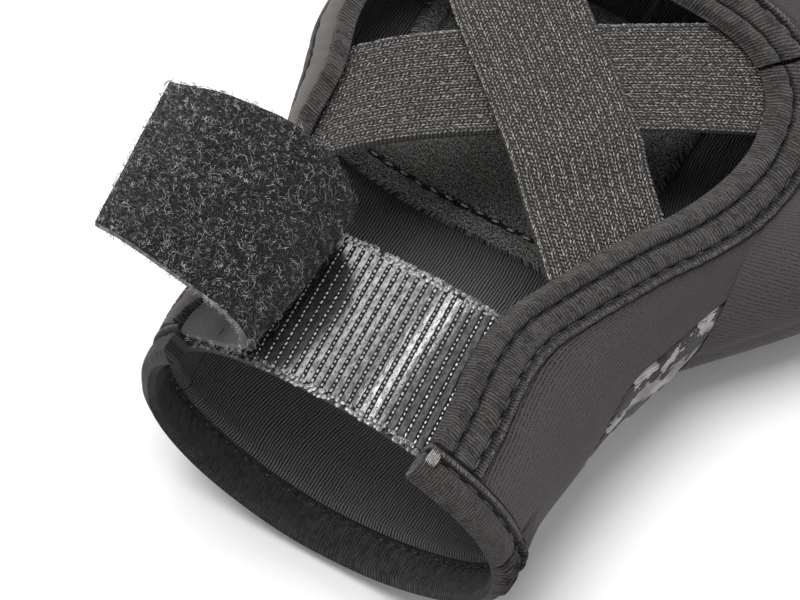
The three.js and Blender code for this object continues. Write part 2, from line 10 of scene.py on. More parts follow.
import bpy
import numpy as np
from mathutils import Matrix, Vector


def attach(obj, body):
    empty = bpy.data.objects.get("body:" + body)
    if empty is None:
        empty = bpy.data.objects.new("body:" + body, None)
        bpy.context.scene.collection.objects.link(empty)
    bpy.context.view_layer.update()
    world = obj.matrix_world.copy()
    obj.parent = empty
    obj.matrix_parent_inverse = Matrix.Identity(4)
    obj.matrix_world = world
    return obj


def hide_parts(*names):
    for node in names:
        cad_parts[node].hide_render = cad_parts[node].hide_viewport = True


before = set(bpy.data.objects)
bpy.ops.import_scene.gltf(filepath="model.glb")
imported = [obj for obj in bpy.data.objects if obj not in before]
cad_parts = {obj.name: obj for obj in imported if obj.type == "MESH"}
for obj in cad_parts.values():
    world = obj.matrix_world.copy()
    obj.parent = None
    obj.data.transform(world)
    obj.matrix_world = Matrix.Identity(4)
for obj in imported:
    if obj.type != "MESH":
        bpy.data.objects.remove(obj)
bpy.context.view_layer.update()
rng = np.random.default_rng(7)

# Body
BODY_LENGTH = 113
WRIST_WIDTH = 62
WRIST_HEIGHT = 39.5
PALM_WIDTH = 84
KNUCKLE_HEIGHT = 26
ORIGIN_FROM_WRIST = 65
WALL = 1.6
GAP = 0.3
WRIST_LIFT = 1.5
WRIST_SLANT = 3
SLANT_REACH = 34
PALM_SINK = 0.8
THUMB_SEAM = math.radians(-22)
LITTLE_SEAM = math.radians(202)
SEAM_RISE = math.radians(37)
SEAM_RISES = (10, 38)
SEAM_FALLS = (50, 84)
WEB_PEAK_X = 8
WEB_DROP_LITTLE = 9
WEB_DROP_INDEX = 4

# Edge tapes and narrow fabrics
HEM_WIDTH = 6.5
HEM_SWELL = 0.7
BINDING_WIDTH = 9
BINDING_SWELL = 1.1
TAPE_WIDTH = 25.4
TAPE_THICKNESS = 1.2
TAPE_FROM_WRIST = 4.3
TAPE_TUCK = 3.5
STRAP_WIDTH = 20.5
STRAP_THICKNESS = 1.4
TAB_LENGTH = 46
TAB_THICKNESS = 2.2
TAB_SKEW = 1.4
TAB_ROOT_GAP = 0.9
TAB_CLIMB = 0.3
TAB_STRAIGHTENS = 0.5
# Share of the tab's length that is cloth; its fibres reach past it
TAB_SHOWN = 0.98
TAB_STITCH_FROM_ROOT = 0.16

# Palm pad
PAD_THICKNESS = 2.2
PAD_START = 0.482
PAD_END = 0.89
PAD_LITTLE_SIDE = 0.738
PAD_THUMB_SIDE = 0.381
PAD_FLARE = 0.12

# Fingers and thumb
FINGER_LENGTH = 27
FINGER_WALL = 1.5
FINGER_HEM = 5
FINGER_HEM_SWELL = 0.6
TIP_HEIGHT = 20
WEB_SQUARE = 3.6
TIP_SQUARE = 2.2
SQUARE_FADE = 0.625
# How much squarer a sleeve is where it is sewn to the hand, so that it meets its neighbours
SEWN_SQUARE = 4.0
FINGERS = [
    {"name": "index", "width": 0.252, "length": 0.93, "splay": 5, "tip": 0.93},
    {"name": "middle", "width": 0.257, "length": 1.0, "splay": 1.5, "tip": 0.93},
    {"name": "ring", "width": 0.245, "length": 0.93, "splay": -2.5, "tip": 0.92},
    {"name": "little", "width": 0.217, "length": 0.78, "splay": -7, "tip": 0.9},
]
THUMB_RADIUS = 11.8
THUMB_TIP_RADIUS = 10.8
THUMB_LENGTH = 41
THUMB_GIRTH = 72
THUMB_CENTRE = np.array([34, 63, 13.5])
THUMB_ANGLE = math.radians(40)
THUMB_DIP = math.radians(2)
# How far the thumb's sleeve is sewn into the side of the hand
THUMB_SINK = 0.7

# Sections of the body, as in the CAD
SECTIONS = {
    "along": [0.0, 0.106, 0.239, 0.39, 0.558, 0.77, 1.0],
    "little_spread": [-0.28, -0.08, -0.08, 0.12, 0.73, 1.0, 1.0],
    "thumb_spread": [0.0, 0.0, 0.08, 0.42, 0.85, 1.0, 1.0],
    "flatten": [0.0, 0.03, 0.1, 0.24, 0.44, 0.73, 1.0],
    "little_square": [2.8, 2.7, 2.5, 2.4, 2.5, 2.8, 3.1],
    "little_below": [1.8, 1.9, 2.1, 2.4, 2.5, 2.8, 3.1],
    "thumb_square": [2.05, 2.05, 2.1, 2.25, 2.5, 2.8, 3.1],
    "settle": [0.0, 0.45, 0.9, 1.0, 1.0, 1.0, 1.0],
}

# Edge of the back opening: share of half the palm's width, share of the body's length
OPENING = [
    (0.369, 0.060), (0.352, 0.115), (0.324, 0.168), (0.314, 0.221), (0.333, 0.274),
    (0.393, 0.336), (0.460, 0.398), (0.533, 0.460), (0.629, 0.531), (0.690, 0.602),
    (0.710, 0.681), (0.655, 0.757), (0.500, 0.805), (0.167, 0.823), (-0.190, 0.823),
    (-0.571, 0.805), (-0.735, 0.757), (-0.81, 0.681), (-0.8, 0.602), (-0.708, 0.496),
    (-0.687, 0.398), (-0.638, 0.327), (-0.571, 0.257), (-0.538, 0.177), (-0.552, 0.115),
    (-0.595, 0.060),
]
CORNER_THUMB = 0.385
CORNER_LITTLE = 0.617

# Loop tab, root to free end, as shares of its length
TAB_PATH = {
    "near_out": [0, 0.083, 0.166, 0.231, 0.223, 0.161, 0.077, -0.008, -0.093, -0.18, -0.267],
    "near_up": [0, 0.001, -0.023, 0.01, 0.102, 0.186, 0.236, 0.288, 0.335, 0.369, 0.377],
    "far_out": [0, 0.106, 0.208, 0.258, 0.241, 0.171, 0.064, -0.047, -0.161, -0.271, -0.38],
    "far_up": [0, 0.018, 0.05, 0.148, 0.278, 0.405, 0.47, 0.478, 0.467, 0.424, 0.376],
}

# Elastic straps in plan: (across, along) of both ends
STRAPS = {
    "elastic_strap_over": ((0.68, 0.372), (-0.676, 0.837)),
    "elastic_strap_under": ((-0.79, 0.44), (0.75, 0.82)),
}
CROSSING_FLAT = 0.17
CROSSING_RAMP = 0.29


def mix(a, b, t):
    return a + (b - a) * t


def smooth(x, low, high):
    t = np.clip((x - low) / (high - low), 0, 1)
    return t * t * (3 - 2 * t)


def signed_power(v, p):
    return np.sign(v) * np.abs(v) ** p


def unit(v):
    return v / (np.linalg.norm(v, axis=-1, keepdims=True) + 1e-9)


def lengths_along(points, axis=0):
    """Distance so far along rows of points, from 0."""
    step = np.linalg.norm(np.diff(points, axis=axis), axis=-1)
    so_far = np.cumsum(step, axis=axis)
    return np.concatenate([np.zeros_like(so_far.take([0], axis=axis)), so_far], axis=axis)


def column(keys, values, place):
    """Value of a table's column at places between its rows, on a smooth curve."""
    k = np.asarray(keys, float)
    c = np.asarray(values, float)
    place = np.clip(place, k[0], k[-1])
    i = np.clip(np.searchsorted(k, place, side="left") - 1, 0, len(k) - 2)
    slope = np.array([
        (c[min(j + 1, len(k) - 1)] - c[max(j - 1, 0)]) / (k[min(j + 1, len(k) - 1)] - k[max(j - 1, 0)])
        for j in range(len(k))
    ])
    span = k[i + 1] - k[i]
    t = (place - k[i]) / span
    rise = (2 * t**3 - 3 * t**2 + 1) * c[i] + (3 * t**2 - 2 * t**3) * c[i + 1]
    return rise + span * ((t**3 - 2 * t**2 + t) * slope[i] + (t**3 - t**2) * slope[i + 1])


def section(y):
    place = np.clip(y / BODY_LENGTH, 0, 1)
    read = lambda name: column(SECTIONS["along"], SECTIONS[name], place)
    return {
        "little": mix(WRIST_WIDTH, PALM_WIDTH, read("little_spread")) / 2,
        "thumb": mix(WRIST_WIDTH, PALM_WIDTH, read("thumb_spread")) / 2,
        "height": mix(WRIST_HEIGHT, KNUCKLE_HEIGHT, read("flatten")),
        "little_square": read("little_square"),
        "little_below": read("little_below"),
        "thumb_square": read("thumb_square"),
        "lift": mix(WRIST_LIFT, -PALM_SINK, read("settle")),
    }


def square_of(s, on_thumb_side, below):
    """Roundness of a section in one of its quarters."""
    little = np.where(below, s["little_below"], s["little_square"])
    return np.where(on_thumb_side, s["thumb_square"], little)


def skin(angle, y, depth):
    """Points of the body's skin at angles round the section, sunk by depth."""
    angle, y, depth = np.broadcast_arrays(
        np.asarray(angle, float), np.asarray(y, float), np.asarray(depth, float))
    s = section(y)
    c, up = np.cos(angle), np.sin(angle)
    side = np.where(c >= 0, s["thumb"], s["little"])
    square = square_of(s, c >= 0, up < 0)
    half = s["height"] / 2
    x = (side - depth) * signed_power(c, 2 / square)
    z = s["lift"] + half + (half - depth) * signed_power(up, 2 / square)
    slant = 1 - smooth(y, 0, SLANT_REACH)
    back = WRIST_SLANT * (1 - up) / 2 * slant
    return np.stack([x, y - back, np.maximum(z, depth)], -1)


def angle_at(x, y, palm=False):
    s = section(y)
    side = np.where(x >= 0, s["thumb"], s["little"])
    square = square_of(s, x >= 0, palm)
    share = np.clip(np.abs(x) / side, 0, 1) ** (square / 2)
    angle = np.arccos(np.sign(x) * share)
    return -angle if palm else angle


def web_line(x):
    drop = np.where(x < WEB_PEAK_X, WEB_DROP_LITTLE, WEB_DROP_INDEX)
    return BODY_LENGTH - drop * ((x - WEB_PEAK_X) / (PALM_WIDTH / 2)) ** 2


def front_at(angle):
    return web_line(skin(angle, BODY_LENGTH, 0)[..., 0])


def thumb_seam_at(y):
    return THUMB_SEAM + SEAM_RISE * smooth(y, *SEAM_RISES) * (1 - smooth(y, *SEAM_FALLS))


def opening_line():
    """The opening's edge as a smooth curve through its points: samples and their length so far."""
    p = np.array(OPENING) * (PALM_WIDTH / 2, BODY_LENGTH)
    p = np.vstack([2 * p[0] - p[1], p, 2 * p[-1] - p[-2]])
    found = []
    for i in range(1, len(p) - 2):
        a, b, c, d = p[i - 1:i + 3]
        knots = np.cumsum([0, *(np.linalg.norm(q - r) ** 0.5 for q, r in ((b, a), (c, b), (d, c)))])
        t = np.linspace(knots[1], knots[2], 40, endpoint=i == len(p) - 3)[:, None]
        lerp = lambda u, v, s, e: ((e - t) * u + (t - s) * v) / (e - s)
        pairs = enumerate(((a, b), (b, c), (c, d)))
        ab, bc, cd = (lerp(u, v, knots[k], knots[k + 1]) for k, (u, v) in pairs)
        abc, bcd = lerp(ab, bc, knots[0], knots[2]), lerp(bc, cd, knots[1], knots[3])
        found.append(lerp(abc, bcd, knots[1], knots[2]))
    line = np.vstack(found)
    return line, lengths_along(line)


LINE, FAR = opening_line()
EDGE_LENGTH = FAR[-1]


def opening_edge(share):
    far = np.clip(share, 0, 1) * EDGE_LENGTH
    x, y = np.interp(far, FAR, LINE[:, 0]), np.interp(far, FAR, LINE[:, 1])
    return angle_at(x, y), y


def girth(angle, y):
    step = 0.01
    return np.linalg.norm(skin(angle - step, y, 0) - skin(angle + step, y, 0), axis=-1) / (2 * step)


def out_from_edge(share, distance):
    """Angle and y at a distance outward from the opening's edge, square to that edge."""
    share, distance = np.broadcast_arrays(np.asarray(share, float), np.asarray(distance, float))
    step = 0.004
    before, after, here = opening_edge(share - step), opening_edge(share + step), opening_edge(share)
    turn = (after[0] - before[0]) * girth(*here)
    rise = after[1] - before[1]
    length = np.hypot(turn, rise)
    wrist_end = smooth(np.minimum(share, 1 - share), 0, 0.06)
    across, along = -rise / length, turn / length * wrist_end
    unit = np.hypot(across, along)
    across, along = across / unit, along / unit
    angle, y = here
    steps = 6
    for _ in range(steps):
        angle = angle + across * distance / steps / girth(angle, y)
        y = y + along * distance / steps
    return angle, y


def edge_x(along, thumb_side):
    half = len(OPENING) // 2
    rows = OPENING[:half] if thumb_side else OPENING[half:][::-1]
    return column([r[1] for r in rows], [r[0] for r in rows], along) * PALM_WIDTH / 2


# Meshes

def grids(columns, rows):
    """Shares u across and v along, as grids of rows + 1 by columns + 1."""
    return np.meshgrid(np.linspace(0, 1, columns + 1), np.linspace(0, 1, rows + 1))


def make(name, points, faces, uv, looks, face_look):
    """A mesh object in metres in the row frame, with a UV map in millimetres."""
    mesh = bpy.data.meshes.new(name)
    points = (np.asarray(points) - (0, ORIGIN_FROM_WRIST, 0)) / 1000
    mesh.from_pydata(points.tolist(), [], faces.tolist() if hasattr(faces, "tolist") else faces)
    mesh.polygons.foreach_set("use_smooth", [True] * len(mesh.polygons))
    for look in looks:
        mesh.materials.append(LOOKS[look])
    mesh.polygons.foreach_set("material_index", np.asarray(face_look, int))
    layer = mesh.uv_layers.new(name="mm")
    corner = np.zeros(len(mesh.loops), int)
    mesh.loops.foreach_get("vertex_index", corner)
    layer.data.foreach_set("uv", np.asarray(uv, float)[corner].ravel())
    mesh.update()
    mesh.set_sharp_from_angle(angle=math.radians(50))
    made = bpy.data.objects.new(name, mesh)
    bpy.context.scene.collection.objects.link(made)
    return made


def strip_faces(rows, columns, start, flip, ring=False):
    """Quads of a grid whose vertices start at start. ring joins the last column to the first."""
    j, i = np.meshgrid(np.arange(rows), np.arange(columns), indexing="ij")
    wide = columns if ring else columns + 1
    at = lambda a, b: start + a * wide + (b % wide if ring else b)
    q = np.stack([at(j, i), at(j, i + 1), at(j + 1, i + 1), at(j + 1, i)], -1).reshape(-1, 4)
    return q[:, ::-1] if flip else q


def solid(name, outer, inner, uv, looks, ring=False):
    """Closed piece between an outer and an inner grid of points. looks: outside, inside, rim."""
    rows, columns = outer.shape[0] - 1, outer.shape[1] - (0 if ring else 1)
    wide = outer.shape[1]
    count = outer.shape[0] * wide
    points = np.concatenate([outer.reshape(-1, 3), inner.reshape(-1, 3)])
    faces = [strip_faces(rows, columns, 0, False, ring), strip_faces(rows, columns, count, True, ring)]
    i = np.arange(columns)
    nxt = (i + 1) % wide if ring else i + 1
    for row, turn in ((0, False), (rows, True)):
        a, b = row * wide + i, row * wide + nxt
        q = np.stack([b, a, a + count, b + count], -1)
        faces.append(q[:, ::-1] if turn else q)
    if not ring:
        j = np.arange(rows)
        for col, turn in ((0, False), (columns, True)):
            a, b = j * wide + col, (j + 1) * wide + col
            q = np.stack([a, b, b + count, a + count], -1)
            faces.append(q[:, ::-1] if turn else q)
    look = [0] * len(faces[0]) + [1] * len(faces[1]) + [2] * sum(len(f) for f in faces[2:])
    faces = np.concatenate(faces)
    a, b, c, d = (points[faces[:, k]] for k in range(4))
    volume = np.einsum("ij,ij->i", a, np.cross(b, c)).sum() + np.einsum("ij,ij->i", a, np.cross(c, d)).sum()
    if volume < 0:
        faces = faces[:, ::-1]
    uvs = np.concatenate([uv.reshape(-1, 2)] * 2)
    return make(name, points, faces, uvs, looks, look)


def threads(name, parts, look, slot):
    """One piece of many small loose meshes, of one look."""
    points, faces, start = [], [], 0
    for p, f in parts:
        points.append(p)
        faces += [[v + start for v in face] for face in f]
        start += len(p)
    points = np.concatenate(points)
    return place(make(name, points, faces, points[:, :2], [look], [0] * len(faces)), slot)


def place(piece, slot, *nodes):
    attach(piece, "root")
    if nodes:
        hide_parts(*nodes)
    return piece


# Materials

# Ridges across the folded edge tape: middle, half width, share of BINDING_SWELL; grooves between them
BINDING_RIDGES = ((1.65, 1.7, 1.0), (5.35, 1.95, 0.78), (8.2, 0.78, 0.62))
LITTLE_RIDGES = ((1.1, 1.15, 1.0), (4.9, 2.6, 0.7), (8.2, 0.78, 0.5))
BINDING_GROOVES = (3.36, 7.36)
LITTLE_GROOVES = (2.3, 7.45)
HEM_STITCH_Y = 4.9
YARN_COLUMNS = 12
YARN_PITCH = 0.66
YARN_FROM_EDGE = 0.25
PRINT_SCALE, PRINT_WARP = 230, 180
PRINT_SHIFT = (0.31, 0.17, 0.05)
PRINT_STRETCH = (1.7, 0.75, 1.7)


def rgb(text):
    """Linear colour of an sRGB hex."""
    c = [int(text[i:i + 2], 16) / 255 for i in (0, 2, 4)]
    return tuple(v / 12.92 if v <= 0.04045 else ((v + 0.055) / 1.055) ** 2.4 for v in c)


class Look:
    """A material and short calls that add its nodes. Lengths are millimetres of the UV map."""

    def __init__(self, name, roughness, sheen=0.0, sheen_roughness=0.5, specular=0.3):
        self.mat = bpy.data.materials.new(name)
        self.mat.use_nodes = True
        self.tree = self.mat.node_tree
        self.shader = self.tree.nodes["Principled BSDF"]
        self.shader.inputs["Roughness"].default_value = roughness
        self.shader.inputs["Sheen Weight"].default_value = sheen
        self.shader.inputs["Sheen Roughness"].default_value = sheen_roughness
        self.shader.inputs["Specular IOR Level"].default_value = specular
        uv = self.add("ShaderNodeUVMap", uv_map="mm").outputs[0]
        self.uv = uv
        split = self.add("ShaderNodeSeparateXYZ", {0: uv})
        self.u, self.v = split.outputs[0], split.outputs[1]

    def add(self, kind, sockets=None, **props):
        node = self.tree.nodes.new(kind)
        for key, value in props.items():
            setattr(node, key, value)
        for key, value in (sockets or {}).items():
            self.plug(node.inputs[key], value)
        return node

    def plug(self, socket, value):
        if isinstance(value, bpy.types.NodeSocket):
            self.tree.links.new(value, socket)
        else:
            socket.default_value = value

    def math(self, operation, a, b=0.0, c=0.0):
        return self.add("ShaderNodeMath", {0: a, 1: b, 2: c}, operation=operation).outputs[0]

    def times(self, a, b):
        return self.math("MULTIPLY", a, b)

    def minus(self, a, b):
        return self.math("SUBTRACT", a, b)

    def times_plus(self, a, b, c):
        """a * b + c"""
        return self.math("MULTIPLY_ADD", a, b, c)

    def wave(self, x, pitch):
        """A cosine from 0 to 1 along x."""
        return self.times_plus(self.math("COSINE", self.times(x, 2 * math.pi / pitch)), 0.5, 0.5)

    def off_centre(self, x, pitch):
        """0 in the middle of each strip of that pitch, 1 at its edges."""
        part = self.math("FRACT", self.math("DIVIDE", x, pitch))
        return self.math("ABSOLUTE", self.times_plus(part, 2, -1))

    def band(self, x, low, high):
        """0 below low, 1 above high, smooth between."""
        sockets = {"Value": x, "From Min": low, "From Max": high}
        return self.add("ShaderNodeMapRange", sockets, interpolation_type="SMOOTHSTEP").outputs[0]

    def noise(self, scale, detail=2.0, vector=None, roughness=0.5, stretch=None):
        vector = self.uv if vector is None else vector
        if stretch:
            stretched = self.add("ShaderNodeVectorMath", {0: vector, 1: stretch}, operation="MULTIPLY")
            vector = stretched.outputs[0]
        sockets = {"Vector": vector, "Scale": scale, "Detail": detail, "Roughness": roughness}
        return self.add("ShaderNodeTexNoise", sockets).outputs["Fac"]

    def blend(self, share, a, b):
        """A colour between a and b, each a hex string or another colour's socket."""
        a, b = ((*rgb(c), 1) if isinstance(c, str) else c for c in (a, b))
        return self.add("ShaderNodeMix", {0: share, 6: a, 7: b}, data_type="RGBA").outputs[2]

    def paint(self, share, dark, light):
        """Colours it from dark to light by the share."""
        self.plug(self.shader.inputs["Base Color"], self.blend(share, dark, light))

    def bump(self, height, distance):
        sockets = {"Height": height, "Distance": distance / 1000, "Strength": 1}
        self.plug(self.shader.inputs["Normal"], self.add("ShaderNodeBump", sockets).outputs[0])
        return self.mat


def knit_look(name, dark, light, wale=0.6, course=0.5, slant=0.05, depth=0.16,
              creased=0.0, cut=0.35, broken=0.6):
    """Fine jersey: wales along v parted by dark lines of depth cut, deeper over the first creased mm; both
    are painted shade, in the gaps between wales and in the creases by the edge.
    """
    k = Look(name, 0.9, sheen=0.1, specular=0.2)
    across = k.times_plus(k.v, slant, k.u)
    across = k.times_plus(k.noise(0.5, 2), 0.5, across)
    side = k.off_centre(across, wale)
    line = k.times(k.band(side, 0.45, 0.95), k.band(k.noise(2.2, 2), broken - 0.3, broken))
    loop = k.wave(k.times_plus(side, course * 0.5, k.v), course)
    fuzz = k.noise(5.0, 3)
    patch = k.band(k.noise(0.08, 3), 0.35, 0.65)
    deep = k.times_plus(patch, 0.25, cut)
    if creased:
        deep = k.math("MAXIMUM", deep, k.times(k.band(k.u, creased, 0.5), 0.95))
    shade = k.times(line, deep)
    height = k.times_plus(loop, 0.2, k.minus(k.times(fuzz, 0.9), shade))
    tone = k.times_plus(patch, 0.12, k.times_plus(height, 0.95, 0.25))
    k.paint(k.band(tone, 0.0, 1.0), dark, light)
    return k.bump(height, depth)


def rib_look(name, dark, light, pitch=0.5, slant=0.14, depth=0.25,
             flat_from=None, grooves=(), wander=0.6, ribs=0.4):
    """Folded edge tape: fine broken ribs across it, with painted shade in its grooves, smooth from flat_from
    on.
    """
    k = Look(name, 0.85, sheen=0.12, specular=0.25)
    along = k.times_plus(k.noise(0.5, 2), wander, k.v)
    rib = k.wave(k.times_plus(k.u, slant, along), pitch)
    whole = k.band(k.noise(1.3, 2, stretch=(0.6, 1.0, 1.0)), 0.35, 0.6)
    rib = k.times(rib, k.times_plus(whole, 0.75, 0.25))
    grain = k.noise(4.0, 3, stretch=(1.0, 1.6, 1.0))
    worn = k.noise(0.35, 2)
    if flat_from is not None:
        smooth_part = k.band(k.u, flat_from, flat_from + 0.3)
        rib = k.times(rib, k.minus(1, smooth_part))
        worn = k.times_plus(smooth_part, 1.1, worn)
    height = k.times_plus(grain, 0.8, rib)
    tone = k.times_plus(rib, ribs, k.times_plus(grain, 1.7, k.times_plus(worn, 0.6, -0.9)))
    # Darker along the grooves between the ridges: painted shade
    for groove in grooves:
        away = k.math("ABSOLUTE", k.minus(k.u, groove))
        away = k.times_plus(k.minus(grain, 0.5), 0.5, away)
        tone = k.times(tone, k.times_plus(k.band(away, 0.15, 0.6), 0.85, 0.15))
    k.paint(k.band(tone, 0.0, 1.0), dark, light)
    return k.bump(height, depth)


def plain_look(name, dark, light, roughness=0.7, scale=3.0, depth=0.1, sheen=0.1, specular=0.4):
    k = Look(name, roughness, sheen=sheen, specular=specular)
    grain = k.noise(scale, 3)
    k.paint(k.band(grain, 0.3, 0.7), dark, light)
    return k.bump(grain, depth)


def elastic_look():
    """Ground of the woven elastic: columns with dark holes between the raised yarns."""
    k = Look("elastic_ground", 0.85, sheen=0.1, specular=0.25)
    side = k.off_centre(k.u, STRAP_WIDTH / YARN_COLUMNS)
    hole = k.wave(k.times_plus(side, 0.35, k.v), YARN_PITCH)
    grain = k.noise(5.0, 3)
    tone = k.times_plus(grain, 0.8, k.times(hole, 0.4))
    k.paint(k.band(tone, 0.3, 0.95), "121110", "403d3b")
    return k.bump(tone, 0.2)


def fleece_look():
    """Short pile in small tufts, painted pale at its fibre tips: a painted sheen on a black fleece, which
    also lightens its shaded place inside the glove.
    """
    k = Look("fleece", 1.0, sheen=0.1, sheen_roughness=0.4, specular=0.1)
    tuft = k.noise(3.2, 4, roughness=0.8)
    fine = k.noise(6.5, 3)
    height = k.times_plus(fine, 0.6, tuft)
    # Pale where the pile stands highest: painted sheen
    k.paint(k.band(height, 0.72, 0.96), "070806", "e6e8e2")
    return k.bump(height, 0.5)


def tape_look():
    """Ribbons of the hook tape: a nylon sheen, mottled along them."""
    k = Look("tape_ribbon", 0.17, specular=0.5)
    k.shader.inputs["Metallic"].default_value = 0.85
    mottle = k.noise(1.0, 4, stretch=(1.5, 0.7, 1.0))
    k.paint(k.band(mottle, 0.3, 0.7), "5c5b5c", "8c8b8c")
    return k.bump(mottle, 0.018)


def nylon_look(name, dark, light):
    """Moulded hooks and knots of the tape, with a nylon sheen that mirrors the lights; a pale colour given
    here is a painted glint.
    """
    k = Look(name, 0.3, specular=0.8)
    k.shader.inputs["Metallic"].default_value = 0.35
    k.paint(k.band(k.noise(2.2, 2), 0.3, 0.7), dark, light)
    return k.mat


def print_look():
    """Blotchy print in pale and dark greys on the knit of the palm."""
    k = Look("printed_knit", 0.8, sheen=0.1, specular=0.3)
    at = k.add("ShaderNodeTexCoord").outputs["Object"]
    moved = k.add("ShaderNodeVectorMath", {0: at, 1: PRINT_SHIFT}).outputs[0]
    warp = k.noise(PRINT_WARP, 2, vector=at)
    blotch = k.noise(PRINT_SCALE, 5, vector=at, roughness=0.6, stretch=PRINT_STRETCH)
    other = k.noise(PRINT_SCALE * 0.7, 4, vector=moved, roughness=0.6)
    pale = k.band(blotch, 0.49, 0.5)
    edge = k.minus(k.band(blotch, 0.45, 0.465), pale)
    deep = k.band(other, 0.57, 0.585)
    base = k.blend(warp, "3a3637", "484344")
    base = k.blend(k.times(deep, 0.8), base, "262426")
    base = k.blend(k.times(edge, 0.8), base, "232123")
    base = k.blend(pale, base, k.blend(k.band(warp, 0.4, 0.6), "8d888a", "b5b1b3"))
    side = k.off_centre(k.u, 0.6)
    ridge = k.minus(1, k.math("POWER", side, 2.0))
    grain = k.noise(6.0, 2)
    k.paint(k.times(k.minus(1, ridge), 0.35), base, "1c1b1b")
    return k.bump(k.times_plus(grain, 0.4, ridge), 0.14)


LOOKS = {
    "knit": knit_look("knit", "0d0b0b", "4d4748", creased=7),
    "sleeve": knit_look("sleeve_knit", "0d0b0b", "4d4748"),
    "lining": knit_look("lining", "020202", "747473", wale=0.5, slant=0, depth=0.3, cut=1.1, broken=0.35),
    "print": print_look(),
    "binding": rib_look("binding", "0d0c0b", "5e5a58", grooves=BINDING_GROOVES),
    "little_binding": rib_look("little_binding", "0d0c0b", "5e5a58", flat_from=2.2, grooves=LITTLE_GROOVES),
    "hem": rib_look("hem", "0d0c0b", "575351", grooves=(HEM_STITCH_Y,), wander=0.25, ribs=0.6),
    "hem_inside": rib_look("hem_inside", "0c0c0c", "4a4a49"),
    "cut_edge": plain_look("cut_edge", "252322", "4a4745"),
    "elastic": elastic_look(),
    "yarn": plain_look("elastic_yarn", "3a3736", "aaa6a4", roughness=0.6, scale=1.6, depth=0.05),
    "cord": plain_look("cord_yarn", "252322", "65615f", roughness=0.6, scale=1.6, depth=0.03),
    "thread": plain_look("thread", "2e2b2a", "5a5654", roughness=0.5, depth=0.03),
    "pale_thread": plain_look("pale_thread", "6a6764", "a5a2a0", roughness=0.5, depth=0.03),
    "quilt_thread": plain_look("quilt_thread", "8b8987", "f2f0ee", roughness=0.5, depth=0.03),
    "tape_ground": plain_look("tape_ground", "040404", "161616", roughness=0.8),
    "ribbon": tape_look(),
    "knot": plain_look("tape_knot", "121112", "3c3b3c", roughness=0.6),
    # The hooks' pale colour is a painted glint, over their nylon sheen
    "hook": nylon_look("tape_hook", "a5a4a5", "e6e5e6"),
    "selvage": nylon_look("tape_selvage", "2b2a2b", "989798"),
    "pile_ground": plain_look("pile_ground", "0b0a0b", "2a282a", roughness=1.0, scale=3.5, depth=0.5),
    "fibre": plain_look("pile_fibre", "0f0e0f", "3b393a", roughness=0.5, scale=0.9, depth=0.01),
    # Pale pile fibres: painted glints on the black loop pile
    "pale_fibre": plain_look("pile_pale_fibre", "2b292a", "c4c2c3", roughness=0.3, scale=0.9, depth=0.01),
    "tab_back": plain_look("tab_back", "39393a", "565657", roughness=0.6, scale=4.0),
    "fleece": fleece_look(),
    # Pale fleece fibres: painted glints on the black fleece
    "fleece_fibre": plain_look("fleece_fibre", "191a18", "d6d8d3", roughness=0.7, scale=1.4, depth=0.01),
}


# Small threads

# Where a short thread is thickest, as a share of its length to both sides of its middle
SPINDLE_BELLY = 0.22


def spindles(centres, along, up, length, width, height):
    """Many small pointed threads: points and faces. along and up are unit vectors of each."""
    n = len(centres)
    side = np.cross(along, up)
    sizes = (np.broadcast_to(np.asarray(v, float), n)[:, None] for v in (length, width, height))
    length, width, height = sizes
    rings = [centres - along * length / 2]
    for t in (-SPINDLE_BELLY, SPINDLE_BELLY):
        for k in range(4):
            a = math.pi / 2 * k
            out = side * width / 2 * math.cos(a) + up * height / 2 * math.sin(a)
            rings.append(centres + along * length * t + out)
    rings.append(centres + along * length / 2)
    points = np.stack(rings, 1).reshape(-1, 3)
    faces = []
    for k in range(4):
        m = (k + 1) % 4
        faces += [(0, 1 + m, 1 + k, 1 + k), (1 + k, 1 + m, 5 + m, 5 + k), (5 + k, 5 + m, 9, 9)]
    faces = (np.array(faces)[None] + 10 * np.arange(n)[:, None, None]).reshape(-1, 4)
    return points, [f[:3] if f[2] == f[3] else f for f in faces.tolist()]


# A direction that none of the thin tubes runs along
ACROSS_TUBES = (0.31, 0.23, 0.92)


def tubes(paths, radius, sides=3):
    """Thin tubes along many paths of the same number of points: points and faces."""
    n, m = paths.shape[:2]
    ahead = unit(np.gradient(paths, axis=1))
    side = unit(np.cross(ahead, ACROSS_TUBES))
    up = np.cross(side, ahead)
    taper = np.broadcast_to(np.asarray(radius, float), (n,))[:, None, None]
    rings = [paths + taper * (side * math.cos(a) + up * math.sin(a))
             for a in (2 * math.pi * k / sides for k in range(sides))]
    points = np.stack(rings, 2).reshape(-1, 3)
    i, j, k = np.meshgrid(np.arange(n), np.arange(m - 1), np.arange(sides), indexing="ij")
    at = lambda a, b, c: (a * m + b) * sides + c % sides
    quads = np.stack([at(i, j, k), at(i, j, k + 1), at(i, j + 1, k + 1), at(i, j + 1, k)], -1).reshape(-1, 4)
    ends = [[(a * m + b) * sides + c for c in order] for a in range(n)
            for b, order in ((0, range(sides - 1, -1, -1)), (m - 1, range(sides)))]
    return points, quads.tolist() + ends


# Shared shape

WAVES = unit(rng.normal(size=(9, 3)))
PHASES = rng.uniform(0, 2 * math.pi, 9)


def relief(points, size, amount):
    """Soft irregular swells of about that size over points: a height for each point."""
    total = 0
    for k, (wave, phase) in enumerate(zip(WAVES, PHASES)):
        total = total + np.sin(points @ wave * 2 * math.pi / (size * (1 + 0.13 * k)) + phase)
    return total / len(WAVES) ** 0.5 * amount


def cloth(angle, y, depth, swell=0.25):
    """The skin with the cloth's soft swells in it, the same ones on each of its layers."""
    base = skin(angle, y, 0)
    swell = relief(base, 15, swell) * smooth(base[..., 2], 0.5, 6)
    return skin(angle, y, depth - swell)


